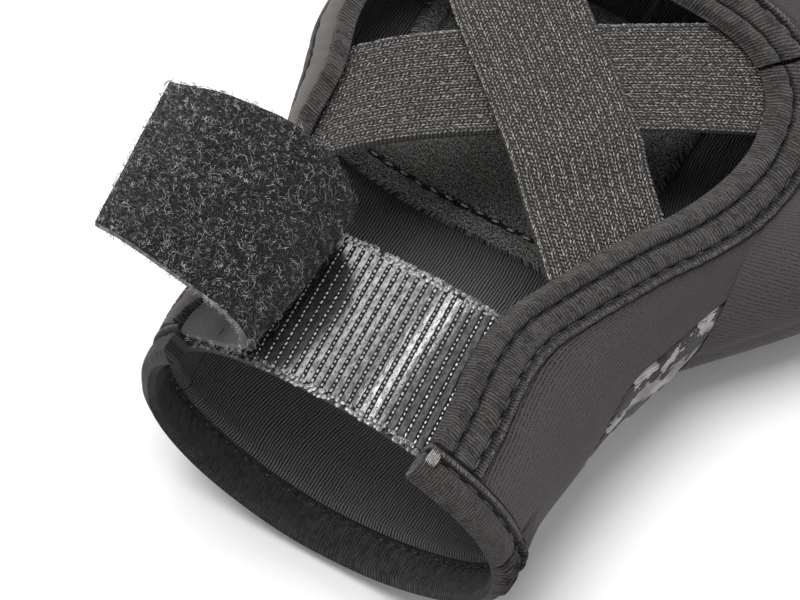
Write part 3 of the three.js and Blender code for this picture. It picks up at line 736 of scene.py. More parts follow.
def crown(d, middle, half, power=2.0):
    """1 at the middle of a ridge, 0 from its edges on."""
    return np.clip(1 - np.abs((d - middle) / half) ** power, 0, 1) ** 0.5


# Width and height of a sewing thread
THREAD = (0.34, 0.3)


def stations(line, above, far, at):
    """Points, directions along and directions up at distances along a line; above lies just over it."""
    pick = lambda p: np.stack([np.interp(at, far, p[:, k]) for k in range(3)], -1)
    centre = pick(line)
    return centre, unit(pick(unit(np.gradient(line, axis=0)))), unit(pick(above) - centre)


def stitch_row(line, above, pitch, length, width, height, sink=0.0):
    """Stitches laid along a line of points."""
    far = lengths_along(line)
    count = max(1, int(far[-1] / pitch))
    centre, along, up = stations(line, above, far, (np.arange(count) + 0.5) * far[-1] / count)
    jitter = rng.normal(0, 0.05, count)
    return spindles(centre - up * sink, along, up, length * (1 + jitter), width, height)


STRETCHES = {
    "thumb_side": (0, CORNER_THUMB),
    "knuckle": (CORNER_THUMB, CORNER_LITTLE),
    "little_side": (CORNER_LITTLE, 1),
}
JOINT = GAP / EDGE_LENGTH
SEAM_TURN = GAP / (PALM_WIDTH / 2)
BODY_START = HEM_WIDTH + GAP


def stretch_share(name, t, gap=1.0):
    start, end = STRETCHES[name]
    start = start + JOINT * gap if start else 0
    end = end - JOINT * gap if end < 1 else 1
    return mix(start, end, t)


HEM_RIDGE_AT, HEM_RIDGE_HALF, HEM_RIDGE_RISE = 8.0, 1.05, 0.6


def hem_ridge(y):
    """The turned-in edge of the hem under the lining, just past the hem's stitches."""
    return HEM_RIDGE_RISE * crown(y, HEM_RIDGE_AT, HEM_RIDGE_HALF)


# Back: bindings and panels

GROOVE_FLOOR = -0.45
PUCKER_PITCH = 3.3
PUCKER_WAVE = 0.09


def binding_rise(d, along, ridges):
    """Height of the binding over the skin, across it (d) and along it, in mm."""
    rise = np.full(np.broadcast(d, along).shape, GROOVE_FLOOR)
    pull = np.cos(along * 2 * math.pi / PUCKER_PITCH) + 0.5 * np.sin(along * 2.9)
    for middle, half, high in ridges:
        side = np.abs(d - middle) / half
        pucker = 1 + PUCKER_WAVE * pull * (0.6 + 2.2 * side**2)
        high = high * BINDING_SWELL * pucker - GROOVE_FLOOR
        rise = np.maximum(rise, GROOVE_FLOOR + high * crown(d, middle, half, 2.4))
    return rise


# Threads over the outer cord of the tapes: pitch and size in mm, lean in radians
CORD_PITCH, CORD_LONG, CORD_WIDE, CORD_HIGH, CORD_SLANT = 0.5, 0.85, 0.28, 0.2, 0.75


def whipping(line, above):
    """Short slanted threads over a cord that runs along a line of points."""
    far = lengths_along(line)
    at = np.arange(CORD_PITCH / 2, far[-1], CORD_PITCH)
    at = at + rng.normal(0, 0.12 * CORD_PITCH, len(at))
    centre, along, up = stations(line, above, far, at)
    lean = CORD_SLANT + rng.normal(0, 0.15, (len(at), 1))
    leaning = along * np.cos(lean) + np.cross(along, up) * np.sin(lean)
    scale = rng.uniform(0.7, 1.15, len(at))
    return spindles(centre, leaning, up, CORD_LONG * scale, CORD_WIDE * scale, CORD_HIGH)


# Folded edge of a tape: depths of its outer and inner face at the edge
FOLD_OUTER, FOLD_INNER = 0.75, 0.95


def folded_tape(name, node, angle, y, uv, rise, depth, turn, looks):
    """Tape folded over an edge at uv's first distance 0, with its faces in place past turn."""
    roll = smooth(uv[0], 0, turn)
    outer = cloth(angle, y, -mix(-FOLD_OUTER, rise, roll))
    inner = cloth(angle, y, mix(FOLD_INNER, depth, roll))
    place(solid(name, outer, inner, np.stack(uv, -1), looks), "binding", node)


BINDING_STEP, BINDING_TURN = 0.6, 0.9
STITCH_LONG = 2.5


def bindings():
    for name in STRETCHES:
        little = name == "little_side"
        ridges, grooves = (LITTLE_RIDGES, LITTLE_GROOVES) if little else (BINDING_RIDGES, BINDING_GROOVES)
        length = (STRETCHES[name][1] - STRETCHES[name][0]) * EDGE_LENGTH
        u, v = grids(54, int(length / BINDING_STEP))
        share = stretch_share(name, v)
        d, along = u * BINDING_WIDTH, share * EDGE_LENGTH
        angle, y = out_from_edge(share, d)
        looks = ["little_binding" if little else "binding"] * 3
        folded_tape(f"{name}_binding_cloth", f"{name}_binding", angle, y, (d, along),
                    binding_rise(d, along, ridges), WALL, BINDING_TURN, looks)
        share = stretch_share(name, np.linspace(0, 1, 160))
        rows = []
        for groove in grooves:
            angle, y = out_from_edge(share, groove)
            line = cloth(angle, y, 0.02)
            rows.append(stitch_row(line, cloth(angle, y, -1), PUCKER_PITCH, STITCH_LONG, *THREAD))
        threads(f"{name}_binding_stitches", rows, "thread", "binding")
        t = np.linspace(0, 1, 600)
        middle, _, high = ridges[-1]
        angle, y = out_from_edge(stretch_share(name, t), middle)
        line = cloth(angle, y, -high * BINDING_SWELL)
        flecks = [whipping(line, cloth(angle, y, -3))]
        threads(f"{name}_binding_cord", flecks, "cord", "binding")


# Panels start under the binding's outer cord, and meet with this share of the gap between them
PANEL_UNDER = 0.35
SEWN_GAP = 0.2


def back_panels():
    for name in STRETCHES:
        u, v = grids(44, 130)
        angle0, y0 = out_from_edge(stretch_share(name, v, SEWN_GAP), BINDING_WIDTH - PANEL_UNDER)
        corner = mix(THUMB_SEAM + SEAM_TURN, LITTLE_SEAM - SEAM_TURN, v)
        if name == "knuckle":
            angle1, y1 = corner, front_at(corner)
        elif name == "thumb_side":
            y1 = mix(BODY_START, front_at(THUMB_SEAM + SEAM_TURN) - GAP * SEWN_GAP, v)
            angle1 = thumb_seam_at(y1) + SEAM_TURN
        else:
            angle1 = np.full_like(v, LITTLE_SEAM - SEAM_TURN)
            y1 = mix(BODY_START, front_at(angle1) - GAP * SEWN_GAP, 1 - v)
        angle, y = mix(angle0, angle1, u), mix(y0, y1, u)
        tuck = 0.45 * (1 - smooth(u, 0, 0.05)) + 0.25 * (1 - smooth(1 - u, 0, 0.04))
        folds = corner_creases(angle, y) if name == "thumb_side" else 0
        outer, inner = cloth(angle, y, tuck - folds), cloth(angle, y, WALL + hem_ridge(y))
        along = stretch_share(name, v) * EDGE_LENGTH if name == "knuckle" else y
        uv = np.stack([lengths_along(outer, axis=1), along], -1)
        piece = solid(f"{name}_panel_cloth", outer, inner, uv, ["knit", "lining", "cut_edge"])
        if name == "thumb_side":
            bore(piece)
        place(piece, "knit", f"{name}_panel")


def palm():
    u, v = grids(110, 120)
    y = mix(BODY_START, front_at(mix(LITTLE_SEAM, THUMB_SEAM + 2 * math.pi, u)), v)
    angle = mix(LITTLE_SEAM, thumb_seam_at(y) + 2 * math.pi, u)
    seam = 0.3 * (1 - smooth(np.minimum(u, 1 - u), 0, 0.012))
    outer, inner = cloth(angle, y, seam), cloth(angle, y, WALL + hem_ridge(y))
    across = lengths_along(outer, axis=1)
    uv = np.stack([across - across[:, -1:] / 2, y], -1)
    piece = solid("palm_cloth", outer, inner, uv, ["print", "lining", "cut_edge"])
    bore(piece)
    place(piece, "printed_palm", "palm_panel")


def bore(piece):
    """Cuts the way into the thumb out of the body's wall."""
    rings, sides = np.array([-THUMB_RADIUS * 1.6, THUMB_LENGTH]), 48
    turn = np.arange(sides) / sides * 2 * math.pi
    points = thumb_point(turn[None, :], rings[:, None], np.full((2, sides), FINGER_WALL)).reshape(-1, 3)
    faces = [[i, (i + 1) % sides, sides + (i + 1) % sides, sides + i] for i in range(sides)]
    faces += [list(range(sides - 1, -1, -1)), list(range(sides, 2 * sides))]
    cutter = make("bore", points, faces, points[:, :2], ["cut_edge"], [0] * len(faces))
    cut = piece.modifiers.new("bore", "BOOLEAN")
    cut.operation, cut.object, cut.solver = "DIFFERENCE", cutter, "EXACT"
    bpy.context.view_layer.objects.active = piece
    bpy.ops.object.modifier_apply(modifier="bore")
    bpy.data.objects.remove(cutter)


# Wrist hem

HEM_RIDGES = ((2.35, 2.4, 1.0), (5.75, 0.75, 0.95))
HEM_FLOOR = -0.2
HEM_RADIUS = 31
HEM_TURN = 1.1
HEM_STITCH_PITCH, HEM_STITCH_LONG = 3.3, 2.4
# Creases gathered at the thumb-side corner: their angles in degrees, pitch and depth in mm, ends along y
CREASE_AT, CREASE_DEEP = 11.5, 0.9
FOLDS_FROM, FOLDS_TO, FOLD_PITCH, FOLD_RISE = -14, 10, 1.0, 0.3
CREASES_END = (6.5, 12.5)


def hem_rise(d):
    rise = np.full_like(d, HEM_FLOOR)
    for middle, half, high in HEM_RIDGES:
        high = high * HEM_SWELL - HEM_FLOOR
        rise = np.maximum(rise, HEM_FLOOR + high * crown(d, middle, half, 2.6))
    return rise


# Inside of the hem: rounded band, puckered along its stitches
BAND_MIDDLE, BAND_HALF, BAND_RISE = 2.9, 3.0, 0.35
INNER_STITCH_Y, INNER_STITCH_PITCH = 5.9, 1.95
INNER_GROOVE, INNER_PUCKER = 0.45, 0.16


def hem_inner_rise(angle, d):
    """How far the band's inner face stands into the wrist."""
    near = np.exp(-((d - INNER_STITCH_Y) / 0.35) ** 2)
    around = np.exp(-((d - INNER_STITCH_Y) / 1.8) ** 2)
    pull = np.cos(angle * HEM_RADIUS * 2 * math.pi / INNER_STITCH_PITCH)
    return BAND_RISE * crown(d, BAND_MIDDLE, BAND_HALF) - INNER_GROOVE * near + INNER_PUCKER * around * pull


def corner_creases(angle, y):
    """Height of the small folds gathered at the wrist's thumb-side corner."""
    turned = np.degrees((angle + math.pi) % (2 * math.pi) - math.pi)
    fade = 1 - smooth(y, *CREASES_END)
    crease = np.exp(-((turned - CREASE_AT) / 1.1) ** 2)
    inside = smooth(turned, FOLDS_FROM, FOLDS_FROM + 4) * (1 - smooth(turned, FOLDS_TO - 2, FOLDS_TO))
    fold = np.cos(np.radians(turned) * HEM_RADIUS * 2 * math.pi / FOLD_PITCH + 0.15 * np.sin(y * 1.3))
    return fade * (inside * (0.25 + FOLD_RISE * fold) - CREASE_DEEP * crease)


def wrist_hem():
    start = opening_edge(0.0)[0]
    end = opening_edge(1.0)[0] - 2 * math.pi
    u, v = grids(420, 30)
    angle, d = mix(start, end, u), v * HEM_WIDTH
    rise, depth = hem_rise(d) + corner_creases(angle, d), WALL + hem_inner_rise(angle, d)
    folded_tape("wrist_hem_cloth", "wrist_hem", angle, d, (d, angle * HEM_RADIUS), rise, depth, HEM_TURN,
                ["hem", "hem_inside", "hem"])
    t = np.linspace(start, end, 500)
    line, above = (cloth(t, HEM_STITCH_Y, depth) for depth in (0, -1))
    outside = stitch_row(line, above, HEM_STITCH_PITCH, HEM_STITCH_LONG, *THREAD)
    threads("wrist_hem_stitches", [outside], "thread", "binding")
    line, above = (cloth(t, INNER_STITCH_Y, WALL + depth) for depth in (0.02, 1))
    inside = stitch_row(line, above, INNER_STITCH_PITCH, 0.8, 0.3, 0.3)
    threads("wrist_hem_inside_stitches", [inside], "cord", "binding")
    middle, _, high = HEM_RIDGES[-1]
    flecks = []
    for first, last in ((start, math.radians(CREASE_AT + 1)), (math.radians(FOLDS_FROM - 2), end)):
        t = np.linspace(first, last, 900)
        flecks.append(whipping(cloth(t, middle, -high * HEM_SWELL), cloth(t, middle, -4)))
    threads("wrist_hem_cord", flecks, "cord", "binding")
    threads("bar_tack", [bar_tack()], "pale_thread", "binding")


# Bar tack that ends the binding at the wrist: its middle, threads, their spacing and length
TACK_X, TACK_Y, TACK_THREADS, TACK_PITCH, TACK_LONG = 16.5, 4.2, 6, 0.24, 2.6


def bar_tack():
    k = np.arange(TACK_THREADS) - (TACK_THREADS - 1) / 2
    x, y = TACK_X + k * TACK_PITCH, TACK_Y + rng.normal(0, 0.12, TACK_THREADS)
    over = lambda high, ahead=0.0: skin(angle_at(x, y + ahead), y + ahead, -high)
    centre = over(1.1)
    along, up = unit(over(1.1, 0.3) - centre), unit(over(2.1) - centre)
    return spindles(centre, along, up, TACK_LONG * rng.uniform(0.85, 1.1, TACK_THREADS), 0.36, 0.5)


# Hook tape

ROW_PITCH = 1.6
RIBBON_WIDTH = 0.98
HOOK_PITCH = 0.85
SELVAGE = 0.9
RIBBON_LEAN = -0.11
# Knots on a ribbon: side of its middle in half widths, start along it and length in mm
KNOTS = ((0, 0, 0.26), (-0.94, 0.9, 0.34), (0.94, 0.4, 0.34))
HOOK_LONG, HOOK_WIDE, HOOK_HIGH, HOOK_RISE = 0.66, 0.31, 0.26, 0.22
# Ends of the yarns past a ribbon's end: shift across, reach past it
YARN_ENDS = ((0, 0.15), (ROW_PITCH / 2, 0.15), (0.3, 0.85), (ROW_PITCH / 2 + 0.3, 0.8))


def tape_place(x_share, y):
    """Angle on the back for a share of the tape's width from the thumb side, at y."""
    along = y / BODY_LENGTH
    thumb_side = edge_x(along, True) + TAPE_TUCK
    little_side = edge_x(along, False) - TAPE_TUCK
    return angle_at(mix(thumb_side, little_side, x_share), y)


def on_tape(x, y, rise):
    """A point over the tape at x on its middle line, rise above its top; the ribbons lean across it."""
    x = x + RIBBON_LEAN * (y - TAPE_FROM_WRIST - TAPE_WIDTH / 2)
    return skin(angle_at(x, y), y, WALL + GAP - rise)


def hook_tape():
    u, v = grids(80, 40)
    y = TAPE_FROM_WRIST + v * TAPE_WIDTH
    angle = tape_place(u, y)
    sag = relief(skin(angle, y, 0), 22, 0.12)
    outer = skin(angle, y, WALL + GAP + 0.15 - sag)
    inner = skin(angle, y, WALL + GAP + TAPE_THICKNESS - sag)
    uv = np.stack([u * 44, y], -1)
    ground = place(solid("hook_tape_ground", outer, inner, uv, ["tape_ground"] * 3), "hook_tape", "hook_tape")
    parts = {"ribbons": [], "knots": [], "hooks": [], "selvage": []}
    first = float(edge_x(0.2, False)) - 2
    last = float(edge_x(0.12, True)) + 2
    near, far = TAPE_FROM_WRIST + SELVAGE, TAPE_FROM_WRIST + TAPE_WIDTH - SELVAGE
    for row in range(int((last - first) / ROW_PITCH)):
        x = first + row * ROW_PITCH
        parts["ribbons"].append(ribbon(x, np.arange(near, far, 0.5)))
        for side, shift, size in KNOTS:
            y = np.arange(near + shift, far, 2 * HOOK_PITCH)
            y = y + rng.normal(0, 0.08, len(y))
            parts["knots"].append(dashes(x + side * RIBBON_WIDTH / 2, y, size, 0.2, 0.24, 0.12))
        edge = np.arange(near, far, 0.8)[None, :]
        parts["knots"].append(tubes(on_tape(x - RIBBON_WIDTH * 0.52 + 0 * edge, edge, 0.1), 0.04))
        y = np.arange(near - 0.3, far + 0.3, HOOK_PITCH)
        y = y + rng.normal(0, 0.05, len(y))
        big = np.where(np.arange(len(y)) % 2, 1.0, 0.78) * rng.uniform(0.85, 1.1, len(y))
        size = (HOOK_LONG * big, HOOK_WIDE * big, HOOK_HIGH)
        parts["hooks"].append(dashes(x + ROW_PITCH / 2, y, *size, HOOK_RISE))
        for y0, way in ((near, -1), (far, 1)):
            for shift, out in YARN_ENDS:
                if rng.uniform() < 0.85:
                    parts["selvage"].append(ribbon_end(x + shift, y0 + way * out, way))
            if rng.uniform() < 0.7:
                parts["selvage"].append(selvage_loop(x + rng.uniform(0, ROW_PITCH), y0 + way * 0.5, way))
    for kind, look in (("ribbons", "ribbon"), ("knots", "knot"), ("hooks", "hook"), ("selvage", "selvage")):
        threads(f"hook_tape_{kind}", parts[kind], look, "hook_tape")


def ribbon(x, y):
    """A flat shiny strip along the tape."""
    wander = x + 0.015 * np.sin(y * 1.3 + x)
    lift = 0.05 + 0.004 * np.sin(y * 2.1 + x * 3)
    sides = [on_tape(wander + s * RIBBON_WIDTH / 2, y, lift * h)
             for s, h in ((-1, 0.0), (-0.93, 1.9), (0, 2.05), (0.93, 1.9), (1, 0.0))]
    points = np.stack(sides, 1).reshape(-1, 3)
    return points, strip_faces(len(y) - 1, 4, 0, True).tolist()


def dashes(x, y, length, width, height, rise):
    """A row of short threads that lie along the tape at x."""
    x = x + rng.normal(0, 0.03, len(y))
    centre = on_tape(x, y, rise)
    ahead = unit(on_tape(x + rng.normal(0, 0.02, len(y)), y + 0.2, rise) - centre)
    up = unit(on_tape(x, y, rise + 1) - centre)
    return spindles(centre, ahead, up, length, width, height)


def ribbon_end(x, y0, way):
    """The flat pale lump in which a ribbon's yarns turn back at the edge of the tape."""
    y = np.array([y0 + way * rng.normal(0, 0.1)])
    return dashes(x + rng.normal(0, 0.12), y, rng.uniform(0.8, 1.3), rng.uniform(0.6, 1.0), 0.3, 0.02)


def selvage_loop(x, y0, way):
    """A ragged thin loop of yarn at the edge of the tape."""
    t = np.linspace(0, math.pi, 6)[None, :]
    reach = rng.uniform(0.4, 0.9)
    xs = x + 0.32 * np.cos(t) + rng.normal(0, 0.12)
    ys = y0 + way * reach * np.sin(t)
    rise = 0.1 + 0.2 * np.sin(t) * rng.uniform(0.2, 1.2)
    return tubes(on_tape(xs, ys, rise), rng.uniform(0.05, 0.09), 3)


# Elastic straps

def crossing_share():
    size = np.array([PALM_WIDTH / 2, BODY_LENGTH])
    (a0, a1), (b0, b1) = (tuple(np.array(p) * size for p in STRAPS[n]) for n in STRAPS)
    a, b, c = a1 - a0, b1 - b0, b0 - a0
    return (c[0] * b[1] - c[1] * b[0]) / (a[0] * b[1] - a[1] * b[0])


CROSSING = crossing_share()


def on_strap(name, across, share, depth):
    """A point of a strap: across in mm from its middle, share along it, depth from its face."""
    size = np.array([PALM_WIDTH / 2, BODY_LENGTH])
    start, end = (np.array(p) * size for p in STRAPS[name])
    along = unit(end - start)
    side = np.array([-along[1], along[0]])
    x = mix(start[0], end[0], share) + side[0] * across
    y = mix(start[1], end[1], share) + side[1] * across
    ramp = 1 - smooth(np.abs(share - CROSSING), CROSSING_FLAT, CROSSING_RAMP)
    rise = (STRAP_THICKNESS + GAP) * ramp if name.endswith("over") else 0
    return skin(angle_at(x, y), y, WALL + GAP - rise + depth)


def strap_length(name):
    size = np.array([PALM_WIDTH / 2, BODY_LENGTH])
    return float(np.linalg.norm((np.array(STRAPS[name][1]) - np.array(STRAPS[name][0])) * size))


def elastic_straps():
    for name in STRAPS:
        length = strap_length(name)
        u, v = grids(6 * YARN_COLUMNS, 60)
        across = (u - 0.5) * STRAP_WIDTH
        edge = smooth(np.minimum(u, 1 - u), 0, 0.02)
        rib = 0.16 * np.cos(across * 2 * math.pi / (STRAP_WIDTH / YARN_COLUMNS)) * edge
        outer = on_strap(name, across, v, 0.3 + 0.4 * (1 - edge) + rib)
        inner = on_strap(name, across, v, STRAP_THICKNESS - 0.15 - 0.3 * (1 - edge) - rib * 0.5)
        uv = np.stack([across, v * length], -1)
        ground = place(solid(f"{name}_ground", outer, inner, uv, ["elastic"] * 3), "elastic", name)
        face = yarns(name, length, 0.22, YARN_LEGS)
        back = yarns(name, length, STRAP_THICKNESS - 0.1, YARN_LEGS[:1])
        threads(f"{name}_yarns", [face, back], "yarn", "elastic")


# Stitches in each column of the elastic: shift across in columns, shift along in stitches, lean
YARN_LEGS = ((-0.2, 0.25, 0.55), (0.2, -0.25, -0.55), (0.5, 0.0, 0.0))


def yarns(name, length, depth, legs):
    """The short crossing stitches of the elastic's face, in columns."""
    pitch = STRAP_WIDTH / YARN_COLUMNS
    across, share, lean = [], [], []
    count = int(length / YARN_PITCH)
    outermost = STRAP_WIDTH / 2 - YARN_FROM_EDGE
    for column_no in range(YARN_COLUMNS):
        for shift, phase, slant in legs:
            a = (column_no + 0.5 + shift) * pitch - STRAP_WIDTH / 2
            s = (np.arange(count) + 0.5 + phase) / count
            across.append(np.clip(a, -outermost, outermost) + rng.normal(0, 0.05, count))
            share.append(s + rng.normal(0, 0.0008, count))
            lean.append(slant + rng.normal(0, 0.16, count))
    across, share, lean = (np.concatenate(v) for v in (across, share, lean))
    centre = on_strap(name, across, share, depth)
    ahead = unit(on_strap(name, across, share + 0.4 / length, depth) - centre)
    side = unit(on_strap(name, across + 0.4, share, depth) - centre)
    along = ahead * np.cos(lean)[:, None] + side * np.sin(lean)[:, None]
    up = unit(np.cross(side, ahead))
    size = rng.uniform(0.75, 1.15, len(lean))
    return spindles(centre, along, up, 0.72 * size, 0.21 * size, 0.2)


# Loop tab

def tab_middle(u, v):
    """The tab's middle surface: u from its edge near the wrist, v from its root to its free end."""
    v = v * TAB_SHOWN
    read = lambda name: column(np.linspace(0, 1, 11), TAB_PATH[name], v) * TAB_LENGTH
    y = TAPE_FROM_WRIST + u * TAPE_WIDTH - TAB_SKEW * smooth(v, 0.4, 1)
    root_x = lambda w: edge_x((TAPE_FROM_WRIST + w * TAPE_WIDTH) / BODY_LENGTH, False) + TAB_ROOT_GAP
    chord = mix(root_x(np.zeros(1)), root_x(np.ones(1)), u)
    x = mix(root_x(u), chord, smooth(v, 0, TAB_STRAIGHTENS))
    seat = skin(angle_at(x, y), y, 0)
    top = skin(np.full_like(y, math.pi / 2), y, 0)[..., 2]
    base = mix(seat[..., 2], top, smooth(v, 0, TAB_CLIMB))
    out = mix(read("near_out"), read("far_out"), u)
    up = mix(read("near_up"), read("far_up"), u)
    return np.stack([seat[..., 0] + out, y, base + up + (TAB_THICKNESS - WALL) / 2], -1)


def tab_point(u, v, offset):
    """A point offset from the tab's middle, to the face that is up at the root."""
    step = 0.01
    ahead = tab_middle(u, np.minimum(1, v + step)) - tab_middle(u, np.maximum(0, v - step))
    normal = np.stack([-ahead[..., 2], np.zeros_like(ahead[..., 0]), ahead[..., 0]], -1)
    return tab_middle(u, v) + unit(normal) * np.asarray(offset)[..., None]


PILE_FIBRES, PALE_FIBRES, LONG_FIBRES, RIM_FIBRES = 3800, 5400, 300, 500


def loop_tab():
    u, v = grids(50, 90)
    edge = smooth(np.minimum(np.minimum(u, 1 - u) * TAPE_WIDTH, (1 - v) * TAB_LENGTH), 0, 0.9)
    half = TAB_THICKNESS / 2
    lumps = relief(np.stack([u * 25, v * 44, u * 0], -1), 7, 0.12)
    back = tab_point(u, v, half - 0.25 * (1 - edge) + lumps * 0.5)
    pile = tab_point(u, v, -half + 0.3 + 0.35 * (1 - edge) + lumps)
    uv = np.stack([u * TAPE_WIDTH, v * TAB_LENGTH], -1)
    looks = ["tab_back", "pile_ground", "tab_back"]
    tab = place(solid("loop_tab_cloth", back, pile, uv, looks), "loop_pile", "loop_tab")
    threads("loop_tab_fibres", [curls(PILE_FIBRES, 0.045, 0.85)], "fibre", "loop_pile")
    # Pale, long and rim fibres are painted glints on the black pile, fewest by the root: painted shade near
    # the fold
    pale = [curls(PALE_FIBRES, 0.026, 0.52, 0.75), curls(LONG_FIBRES, 0.024, 2.2)]
    pale.append(rim_fuzz(RIM_FIBRES, 0.03))
    threads("loop_tab_pale_fibres", pale, "pale_fibre", "loop_pile")
    t = np.linspace(0, 1, 60)
    line, above = (tab_point(t, TAB_STITCH_FROM_ROOT, half + rise) for rise in (0, 1))
    threads("loop_tab_stitches", [stitch_row(line, above, 2.6, 1.9, *THREAD)], "thread", "loop_pile")


def rim_fuzz(count, radius):
    """Short fibres round the tab's edge near the wrist."""
    v, turn = rng.uniform(0.02, 1.0, count), rng.uniform(0, 2 * math.pi, count)
    t = np.linspace(0, 1, 4)[None, :]
    us = -0.005 - 0.018 * t * rng.uniform(0.2, 1.0, count)[:, None] + 0 * v[:, None]
    vs = np.clip(v[:, None] + 0.012 * t * np.cos(turn)[:, None], 0, 1)
    offset = rng.uniform(-1.0, 0.9, count)[:, None] + 0.4 * t * np.sin(turn)[:, None]
    return tubes(tab_point(us, vs, offset), radius * rng.uniform(0.6, 1.2, count), 3)


def curls(count, radius, tall, lean=1.0):
    """Small bent fibres that stand on the pile side of the tab; lean under 1 puts more at its end and fewer
    by the root, which for the pale fibres paints the shade near the fold.
    """
    u, v = rng.uniform(0.0, 1.0, count), 0.02 + 0.98 * rng.uniform(0, 1, count) ** lean
    turn = rng.uniform(0, 2 * math.pi, count)
    bend = rng.uniform(0.5, 1.2, count) * tall
    t = np.linspace(0, 1, 4)
    reach = (t[None, :] - 0.5) * bend[:, None]
    curve = 0.5 * bend[:, None] * np.sin(math.pi * t)[None, :] * rng.uniform(-1, 1, count)[:, None]
    du = (reach * np.cos(turn)[:, None] - curve * np.sin(turn)[:, None]) / TAPE_WIDTH
    dv = (reach * np.sin(turn)[:, None] + curve * np.cos(turn)[:, None]) / TAB_LENGTH
    rise = 0.05 + 0.5 * np.sin(math.pi * t)[None, :] * rng.uniform(0.3, 1.0, count)[:, None] * tall
    us = np.clip(u[:, None] + du, -0.02, 1.02)
    vs = np.clip(v[:, None] + dv, 0.0, 1.0)
    paths = tab_point(us, vs, -TAB_THICKNESS / 2 + 0.25 - rise)
    return tubes(paths, radius * rng.uniform(0.7, 1.2, count), 3)


# Palm pad

PAD_LENGTH = (PAD_END - PAD_START) * BODY_LENGTH
PAD_WIDTH = 50
PAD_FIBRES = 5200
PAD_TUFTS = ((2.3, 0.12), (6, 0.12))
# Quilting: its distance from the pad's edge, and the pitch, length and lift of its stitches
QUILT_INSET, QUILT_PITCH, QUILT_STITCH, QUILT_LIFT = 3.6, 2.7, 1.5, 0.7


def palm_pad():
    u, v = grids(90, 84)
    y = mix(PAD_START, PAD_END, v) * BODY_LENGTH
    x = mix(-PAD_LITTLE_SIDE, PAD_THUMB_SIDE, u) * (1 + PAD_FLARE * v) * PALM_WIDTH / 2
    from_side = np.minimum(u, 1 - u) * PAD_WIDTH
    from_end = np.minimum(v, 1 - v) * 46
    inside = np.minimum(from_side, from_end)
    quilt = np.exp(-((inside - QUILT_INSET) / 0.7) ** 2)
    pucker = np.sin((x + y) * 2 * math.pi / 3.4) * np.exp(-((inside - QUILT_INSET) / 2.2) ** 2)
    puff = 0.75 * smooth(inside, 0, 1.2) - 1.15 * quilt + 0.22 * pucker
    angle = angle_at(x, y, palm=True)
    fine, coarse = PAD_TUFTS
    tufts = relief(np.stack([x, y, 0 * x], -1), *fine) + relief(np.stack([y, x, 0 * x], -1), *coarse)
    top = skin(angle, y, WALL + GAP + PAD_THICKNESS - 0.75 + puff + tufts)
    under = skin(angle, y, WALL + GAP)
    uv = np.stack([x, y], -1)
    piece = solid("palm_pad_fleece", top, under, uv, ["fleece"] * 3)
    place(piece, "fleece", "palm_pad")
    threads("palm_pad_fibres", [tufts_on(top, PAD_FIBRES)], "fleece_fibre", "fleece")
    row = int(QUILT_INSET / PAD_LENGTH * (len(top) - 1))
    line = top[row, 6:-6] + (0, 0, QUILT_LIFT)
    up = (0, 0, 1)
    # Dark blobs along the quilting groove: painted shade in it, under the pale stitches
    groove_shade = stitch_row(line, line + up, 0.8, 1.2, 1.0, 0.3, 0.25)
    stitches = stitch_row(line + (0, 0, 0.1), line + up, QUILT_PITCH, QUILT_STITCH, 0.36, 0.34)
    threads("palm_pad_quilt_shade", [groove_shade], "pile_ground", "fleece")
    threads("palm_pad_quilting", [stitches], "quilt_thread", "fleece")


def tufts_on(grid, count):
    """Small bent fibres that stand on a grid of points."""
    rows, columns = grid.shape[:2]
    j, i = rng.integers(1, rows - 1, count), rng.integers(1, columns - 1, count)
    centre = grid[j, i] + rng.normal(0, 0.15, (count, 3)) * (1, 1, 0)
    turn, reach = rng.uniform(0, 2 * math.pi, count), rng.uniform(0.2, 0.5, count)
    t = np.linspace(-1, 1, 3)[None, :]
    flat = t * reach[:, None]
    rise = 0.35 * (1 - t**2) * rng.uniform(0.3, 1, (count, 1))
    bend = np.stack([flat * np.cos(turn)[:, None], flat * np.sin(turn)[:, None], rise], -1)
    return tubes(centre[:, None] + bend, rng.uniform(0.03, 0.06, count), 3)


# Fingers and thumb

def finger_places():
    width = [f["width"] * PALM_WIDTH for f in FINGERS]
    edge = (sum(width) + GAP * (len(FINGERS) - 1)) / 2
    found = []
    for f, w in zip(FINGERS, width):
        x = np.array(edge - w / 2)
        edge -= w + GAP
        y = web_line(x)
        top = skin(angle_at(x, y), y, 0)[2]
        bottom = skin(angle_at(x, y, palm=True), y, 0)[2]
        length = f["length"] * FINGER_LENGTH
        found.append({**f, "width": w, "length": length, "x": x, "top": top, "bottom": bottom})
    return found


def finger_point(f, angle, reach, depth):
    share = reach / f["length"]
    square = mix(WEB_SQUARE, TIP_SQUARE, np.minimum(1, share / SQUARE_FADE))
    square = square + SEWN_SQUARE * (1 - smooth(share, 0, 0.3))
    half_x = mix(1, f["tip"], share) * f["width"] / 2 - depth
    base = (f["top"] - f["bottom"]) / 2
    half_z = mix(base, min(base, TIP_HEIGHT / 2), share) - depth
    splay = math.tan(math.radians(f["splay"]))
    base_x = f["x"] + half_x * signed_power(np.cos(angle), 2 / square)
    z = (f["top"] + f["bottom"]) / 2 + half_z * signed_power(np.sin(angle), 2 / square)
    return np.stack([base_x + splay * reach, web_line(base_x) + GAP + reach, z], -1)


THUMB_ALONG = np.array([math.sin(THUMB_ANGLE) * math.cos(THUMB_DIP),
                        math.cos(THUMB_ANGLE) * math.cos(THUMB_DIP), -math.sin(THUMB_DIP)])
THUMB_ACROSS = unit(np.cross((0, 0, 1), THUMB_ALONG))
THUMB_UP = np.cross(THUMB_ALONG, THUMB_ACROSS)


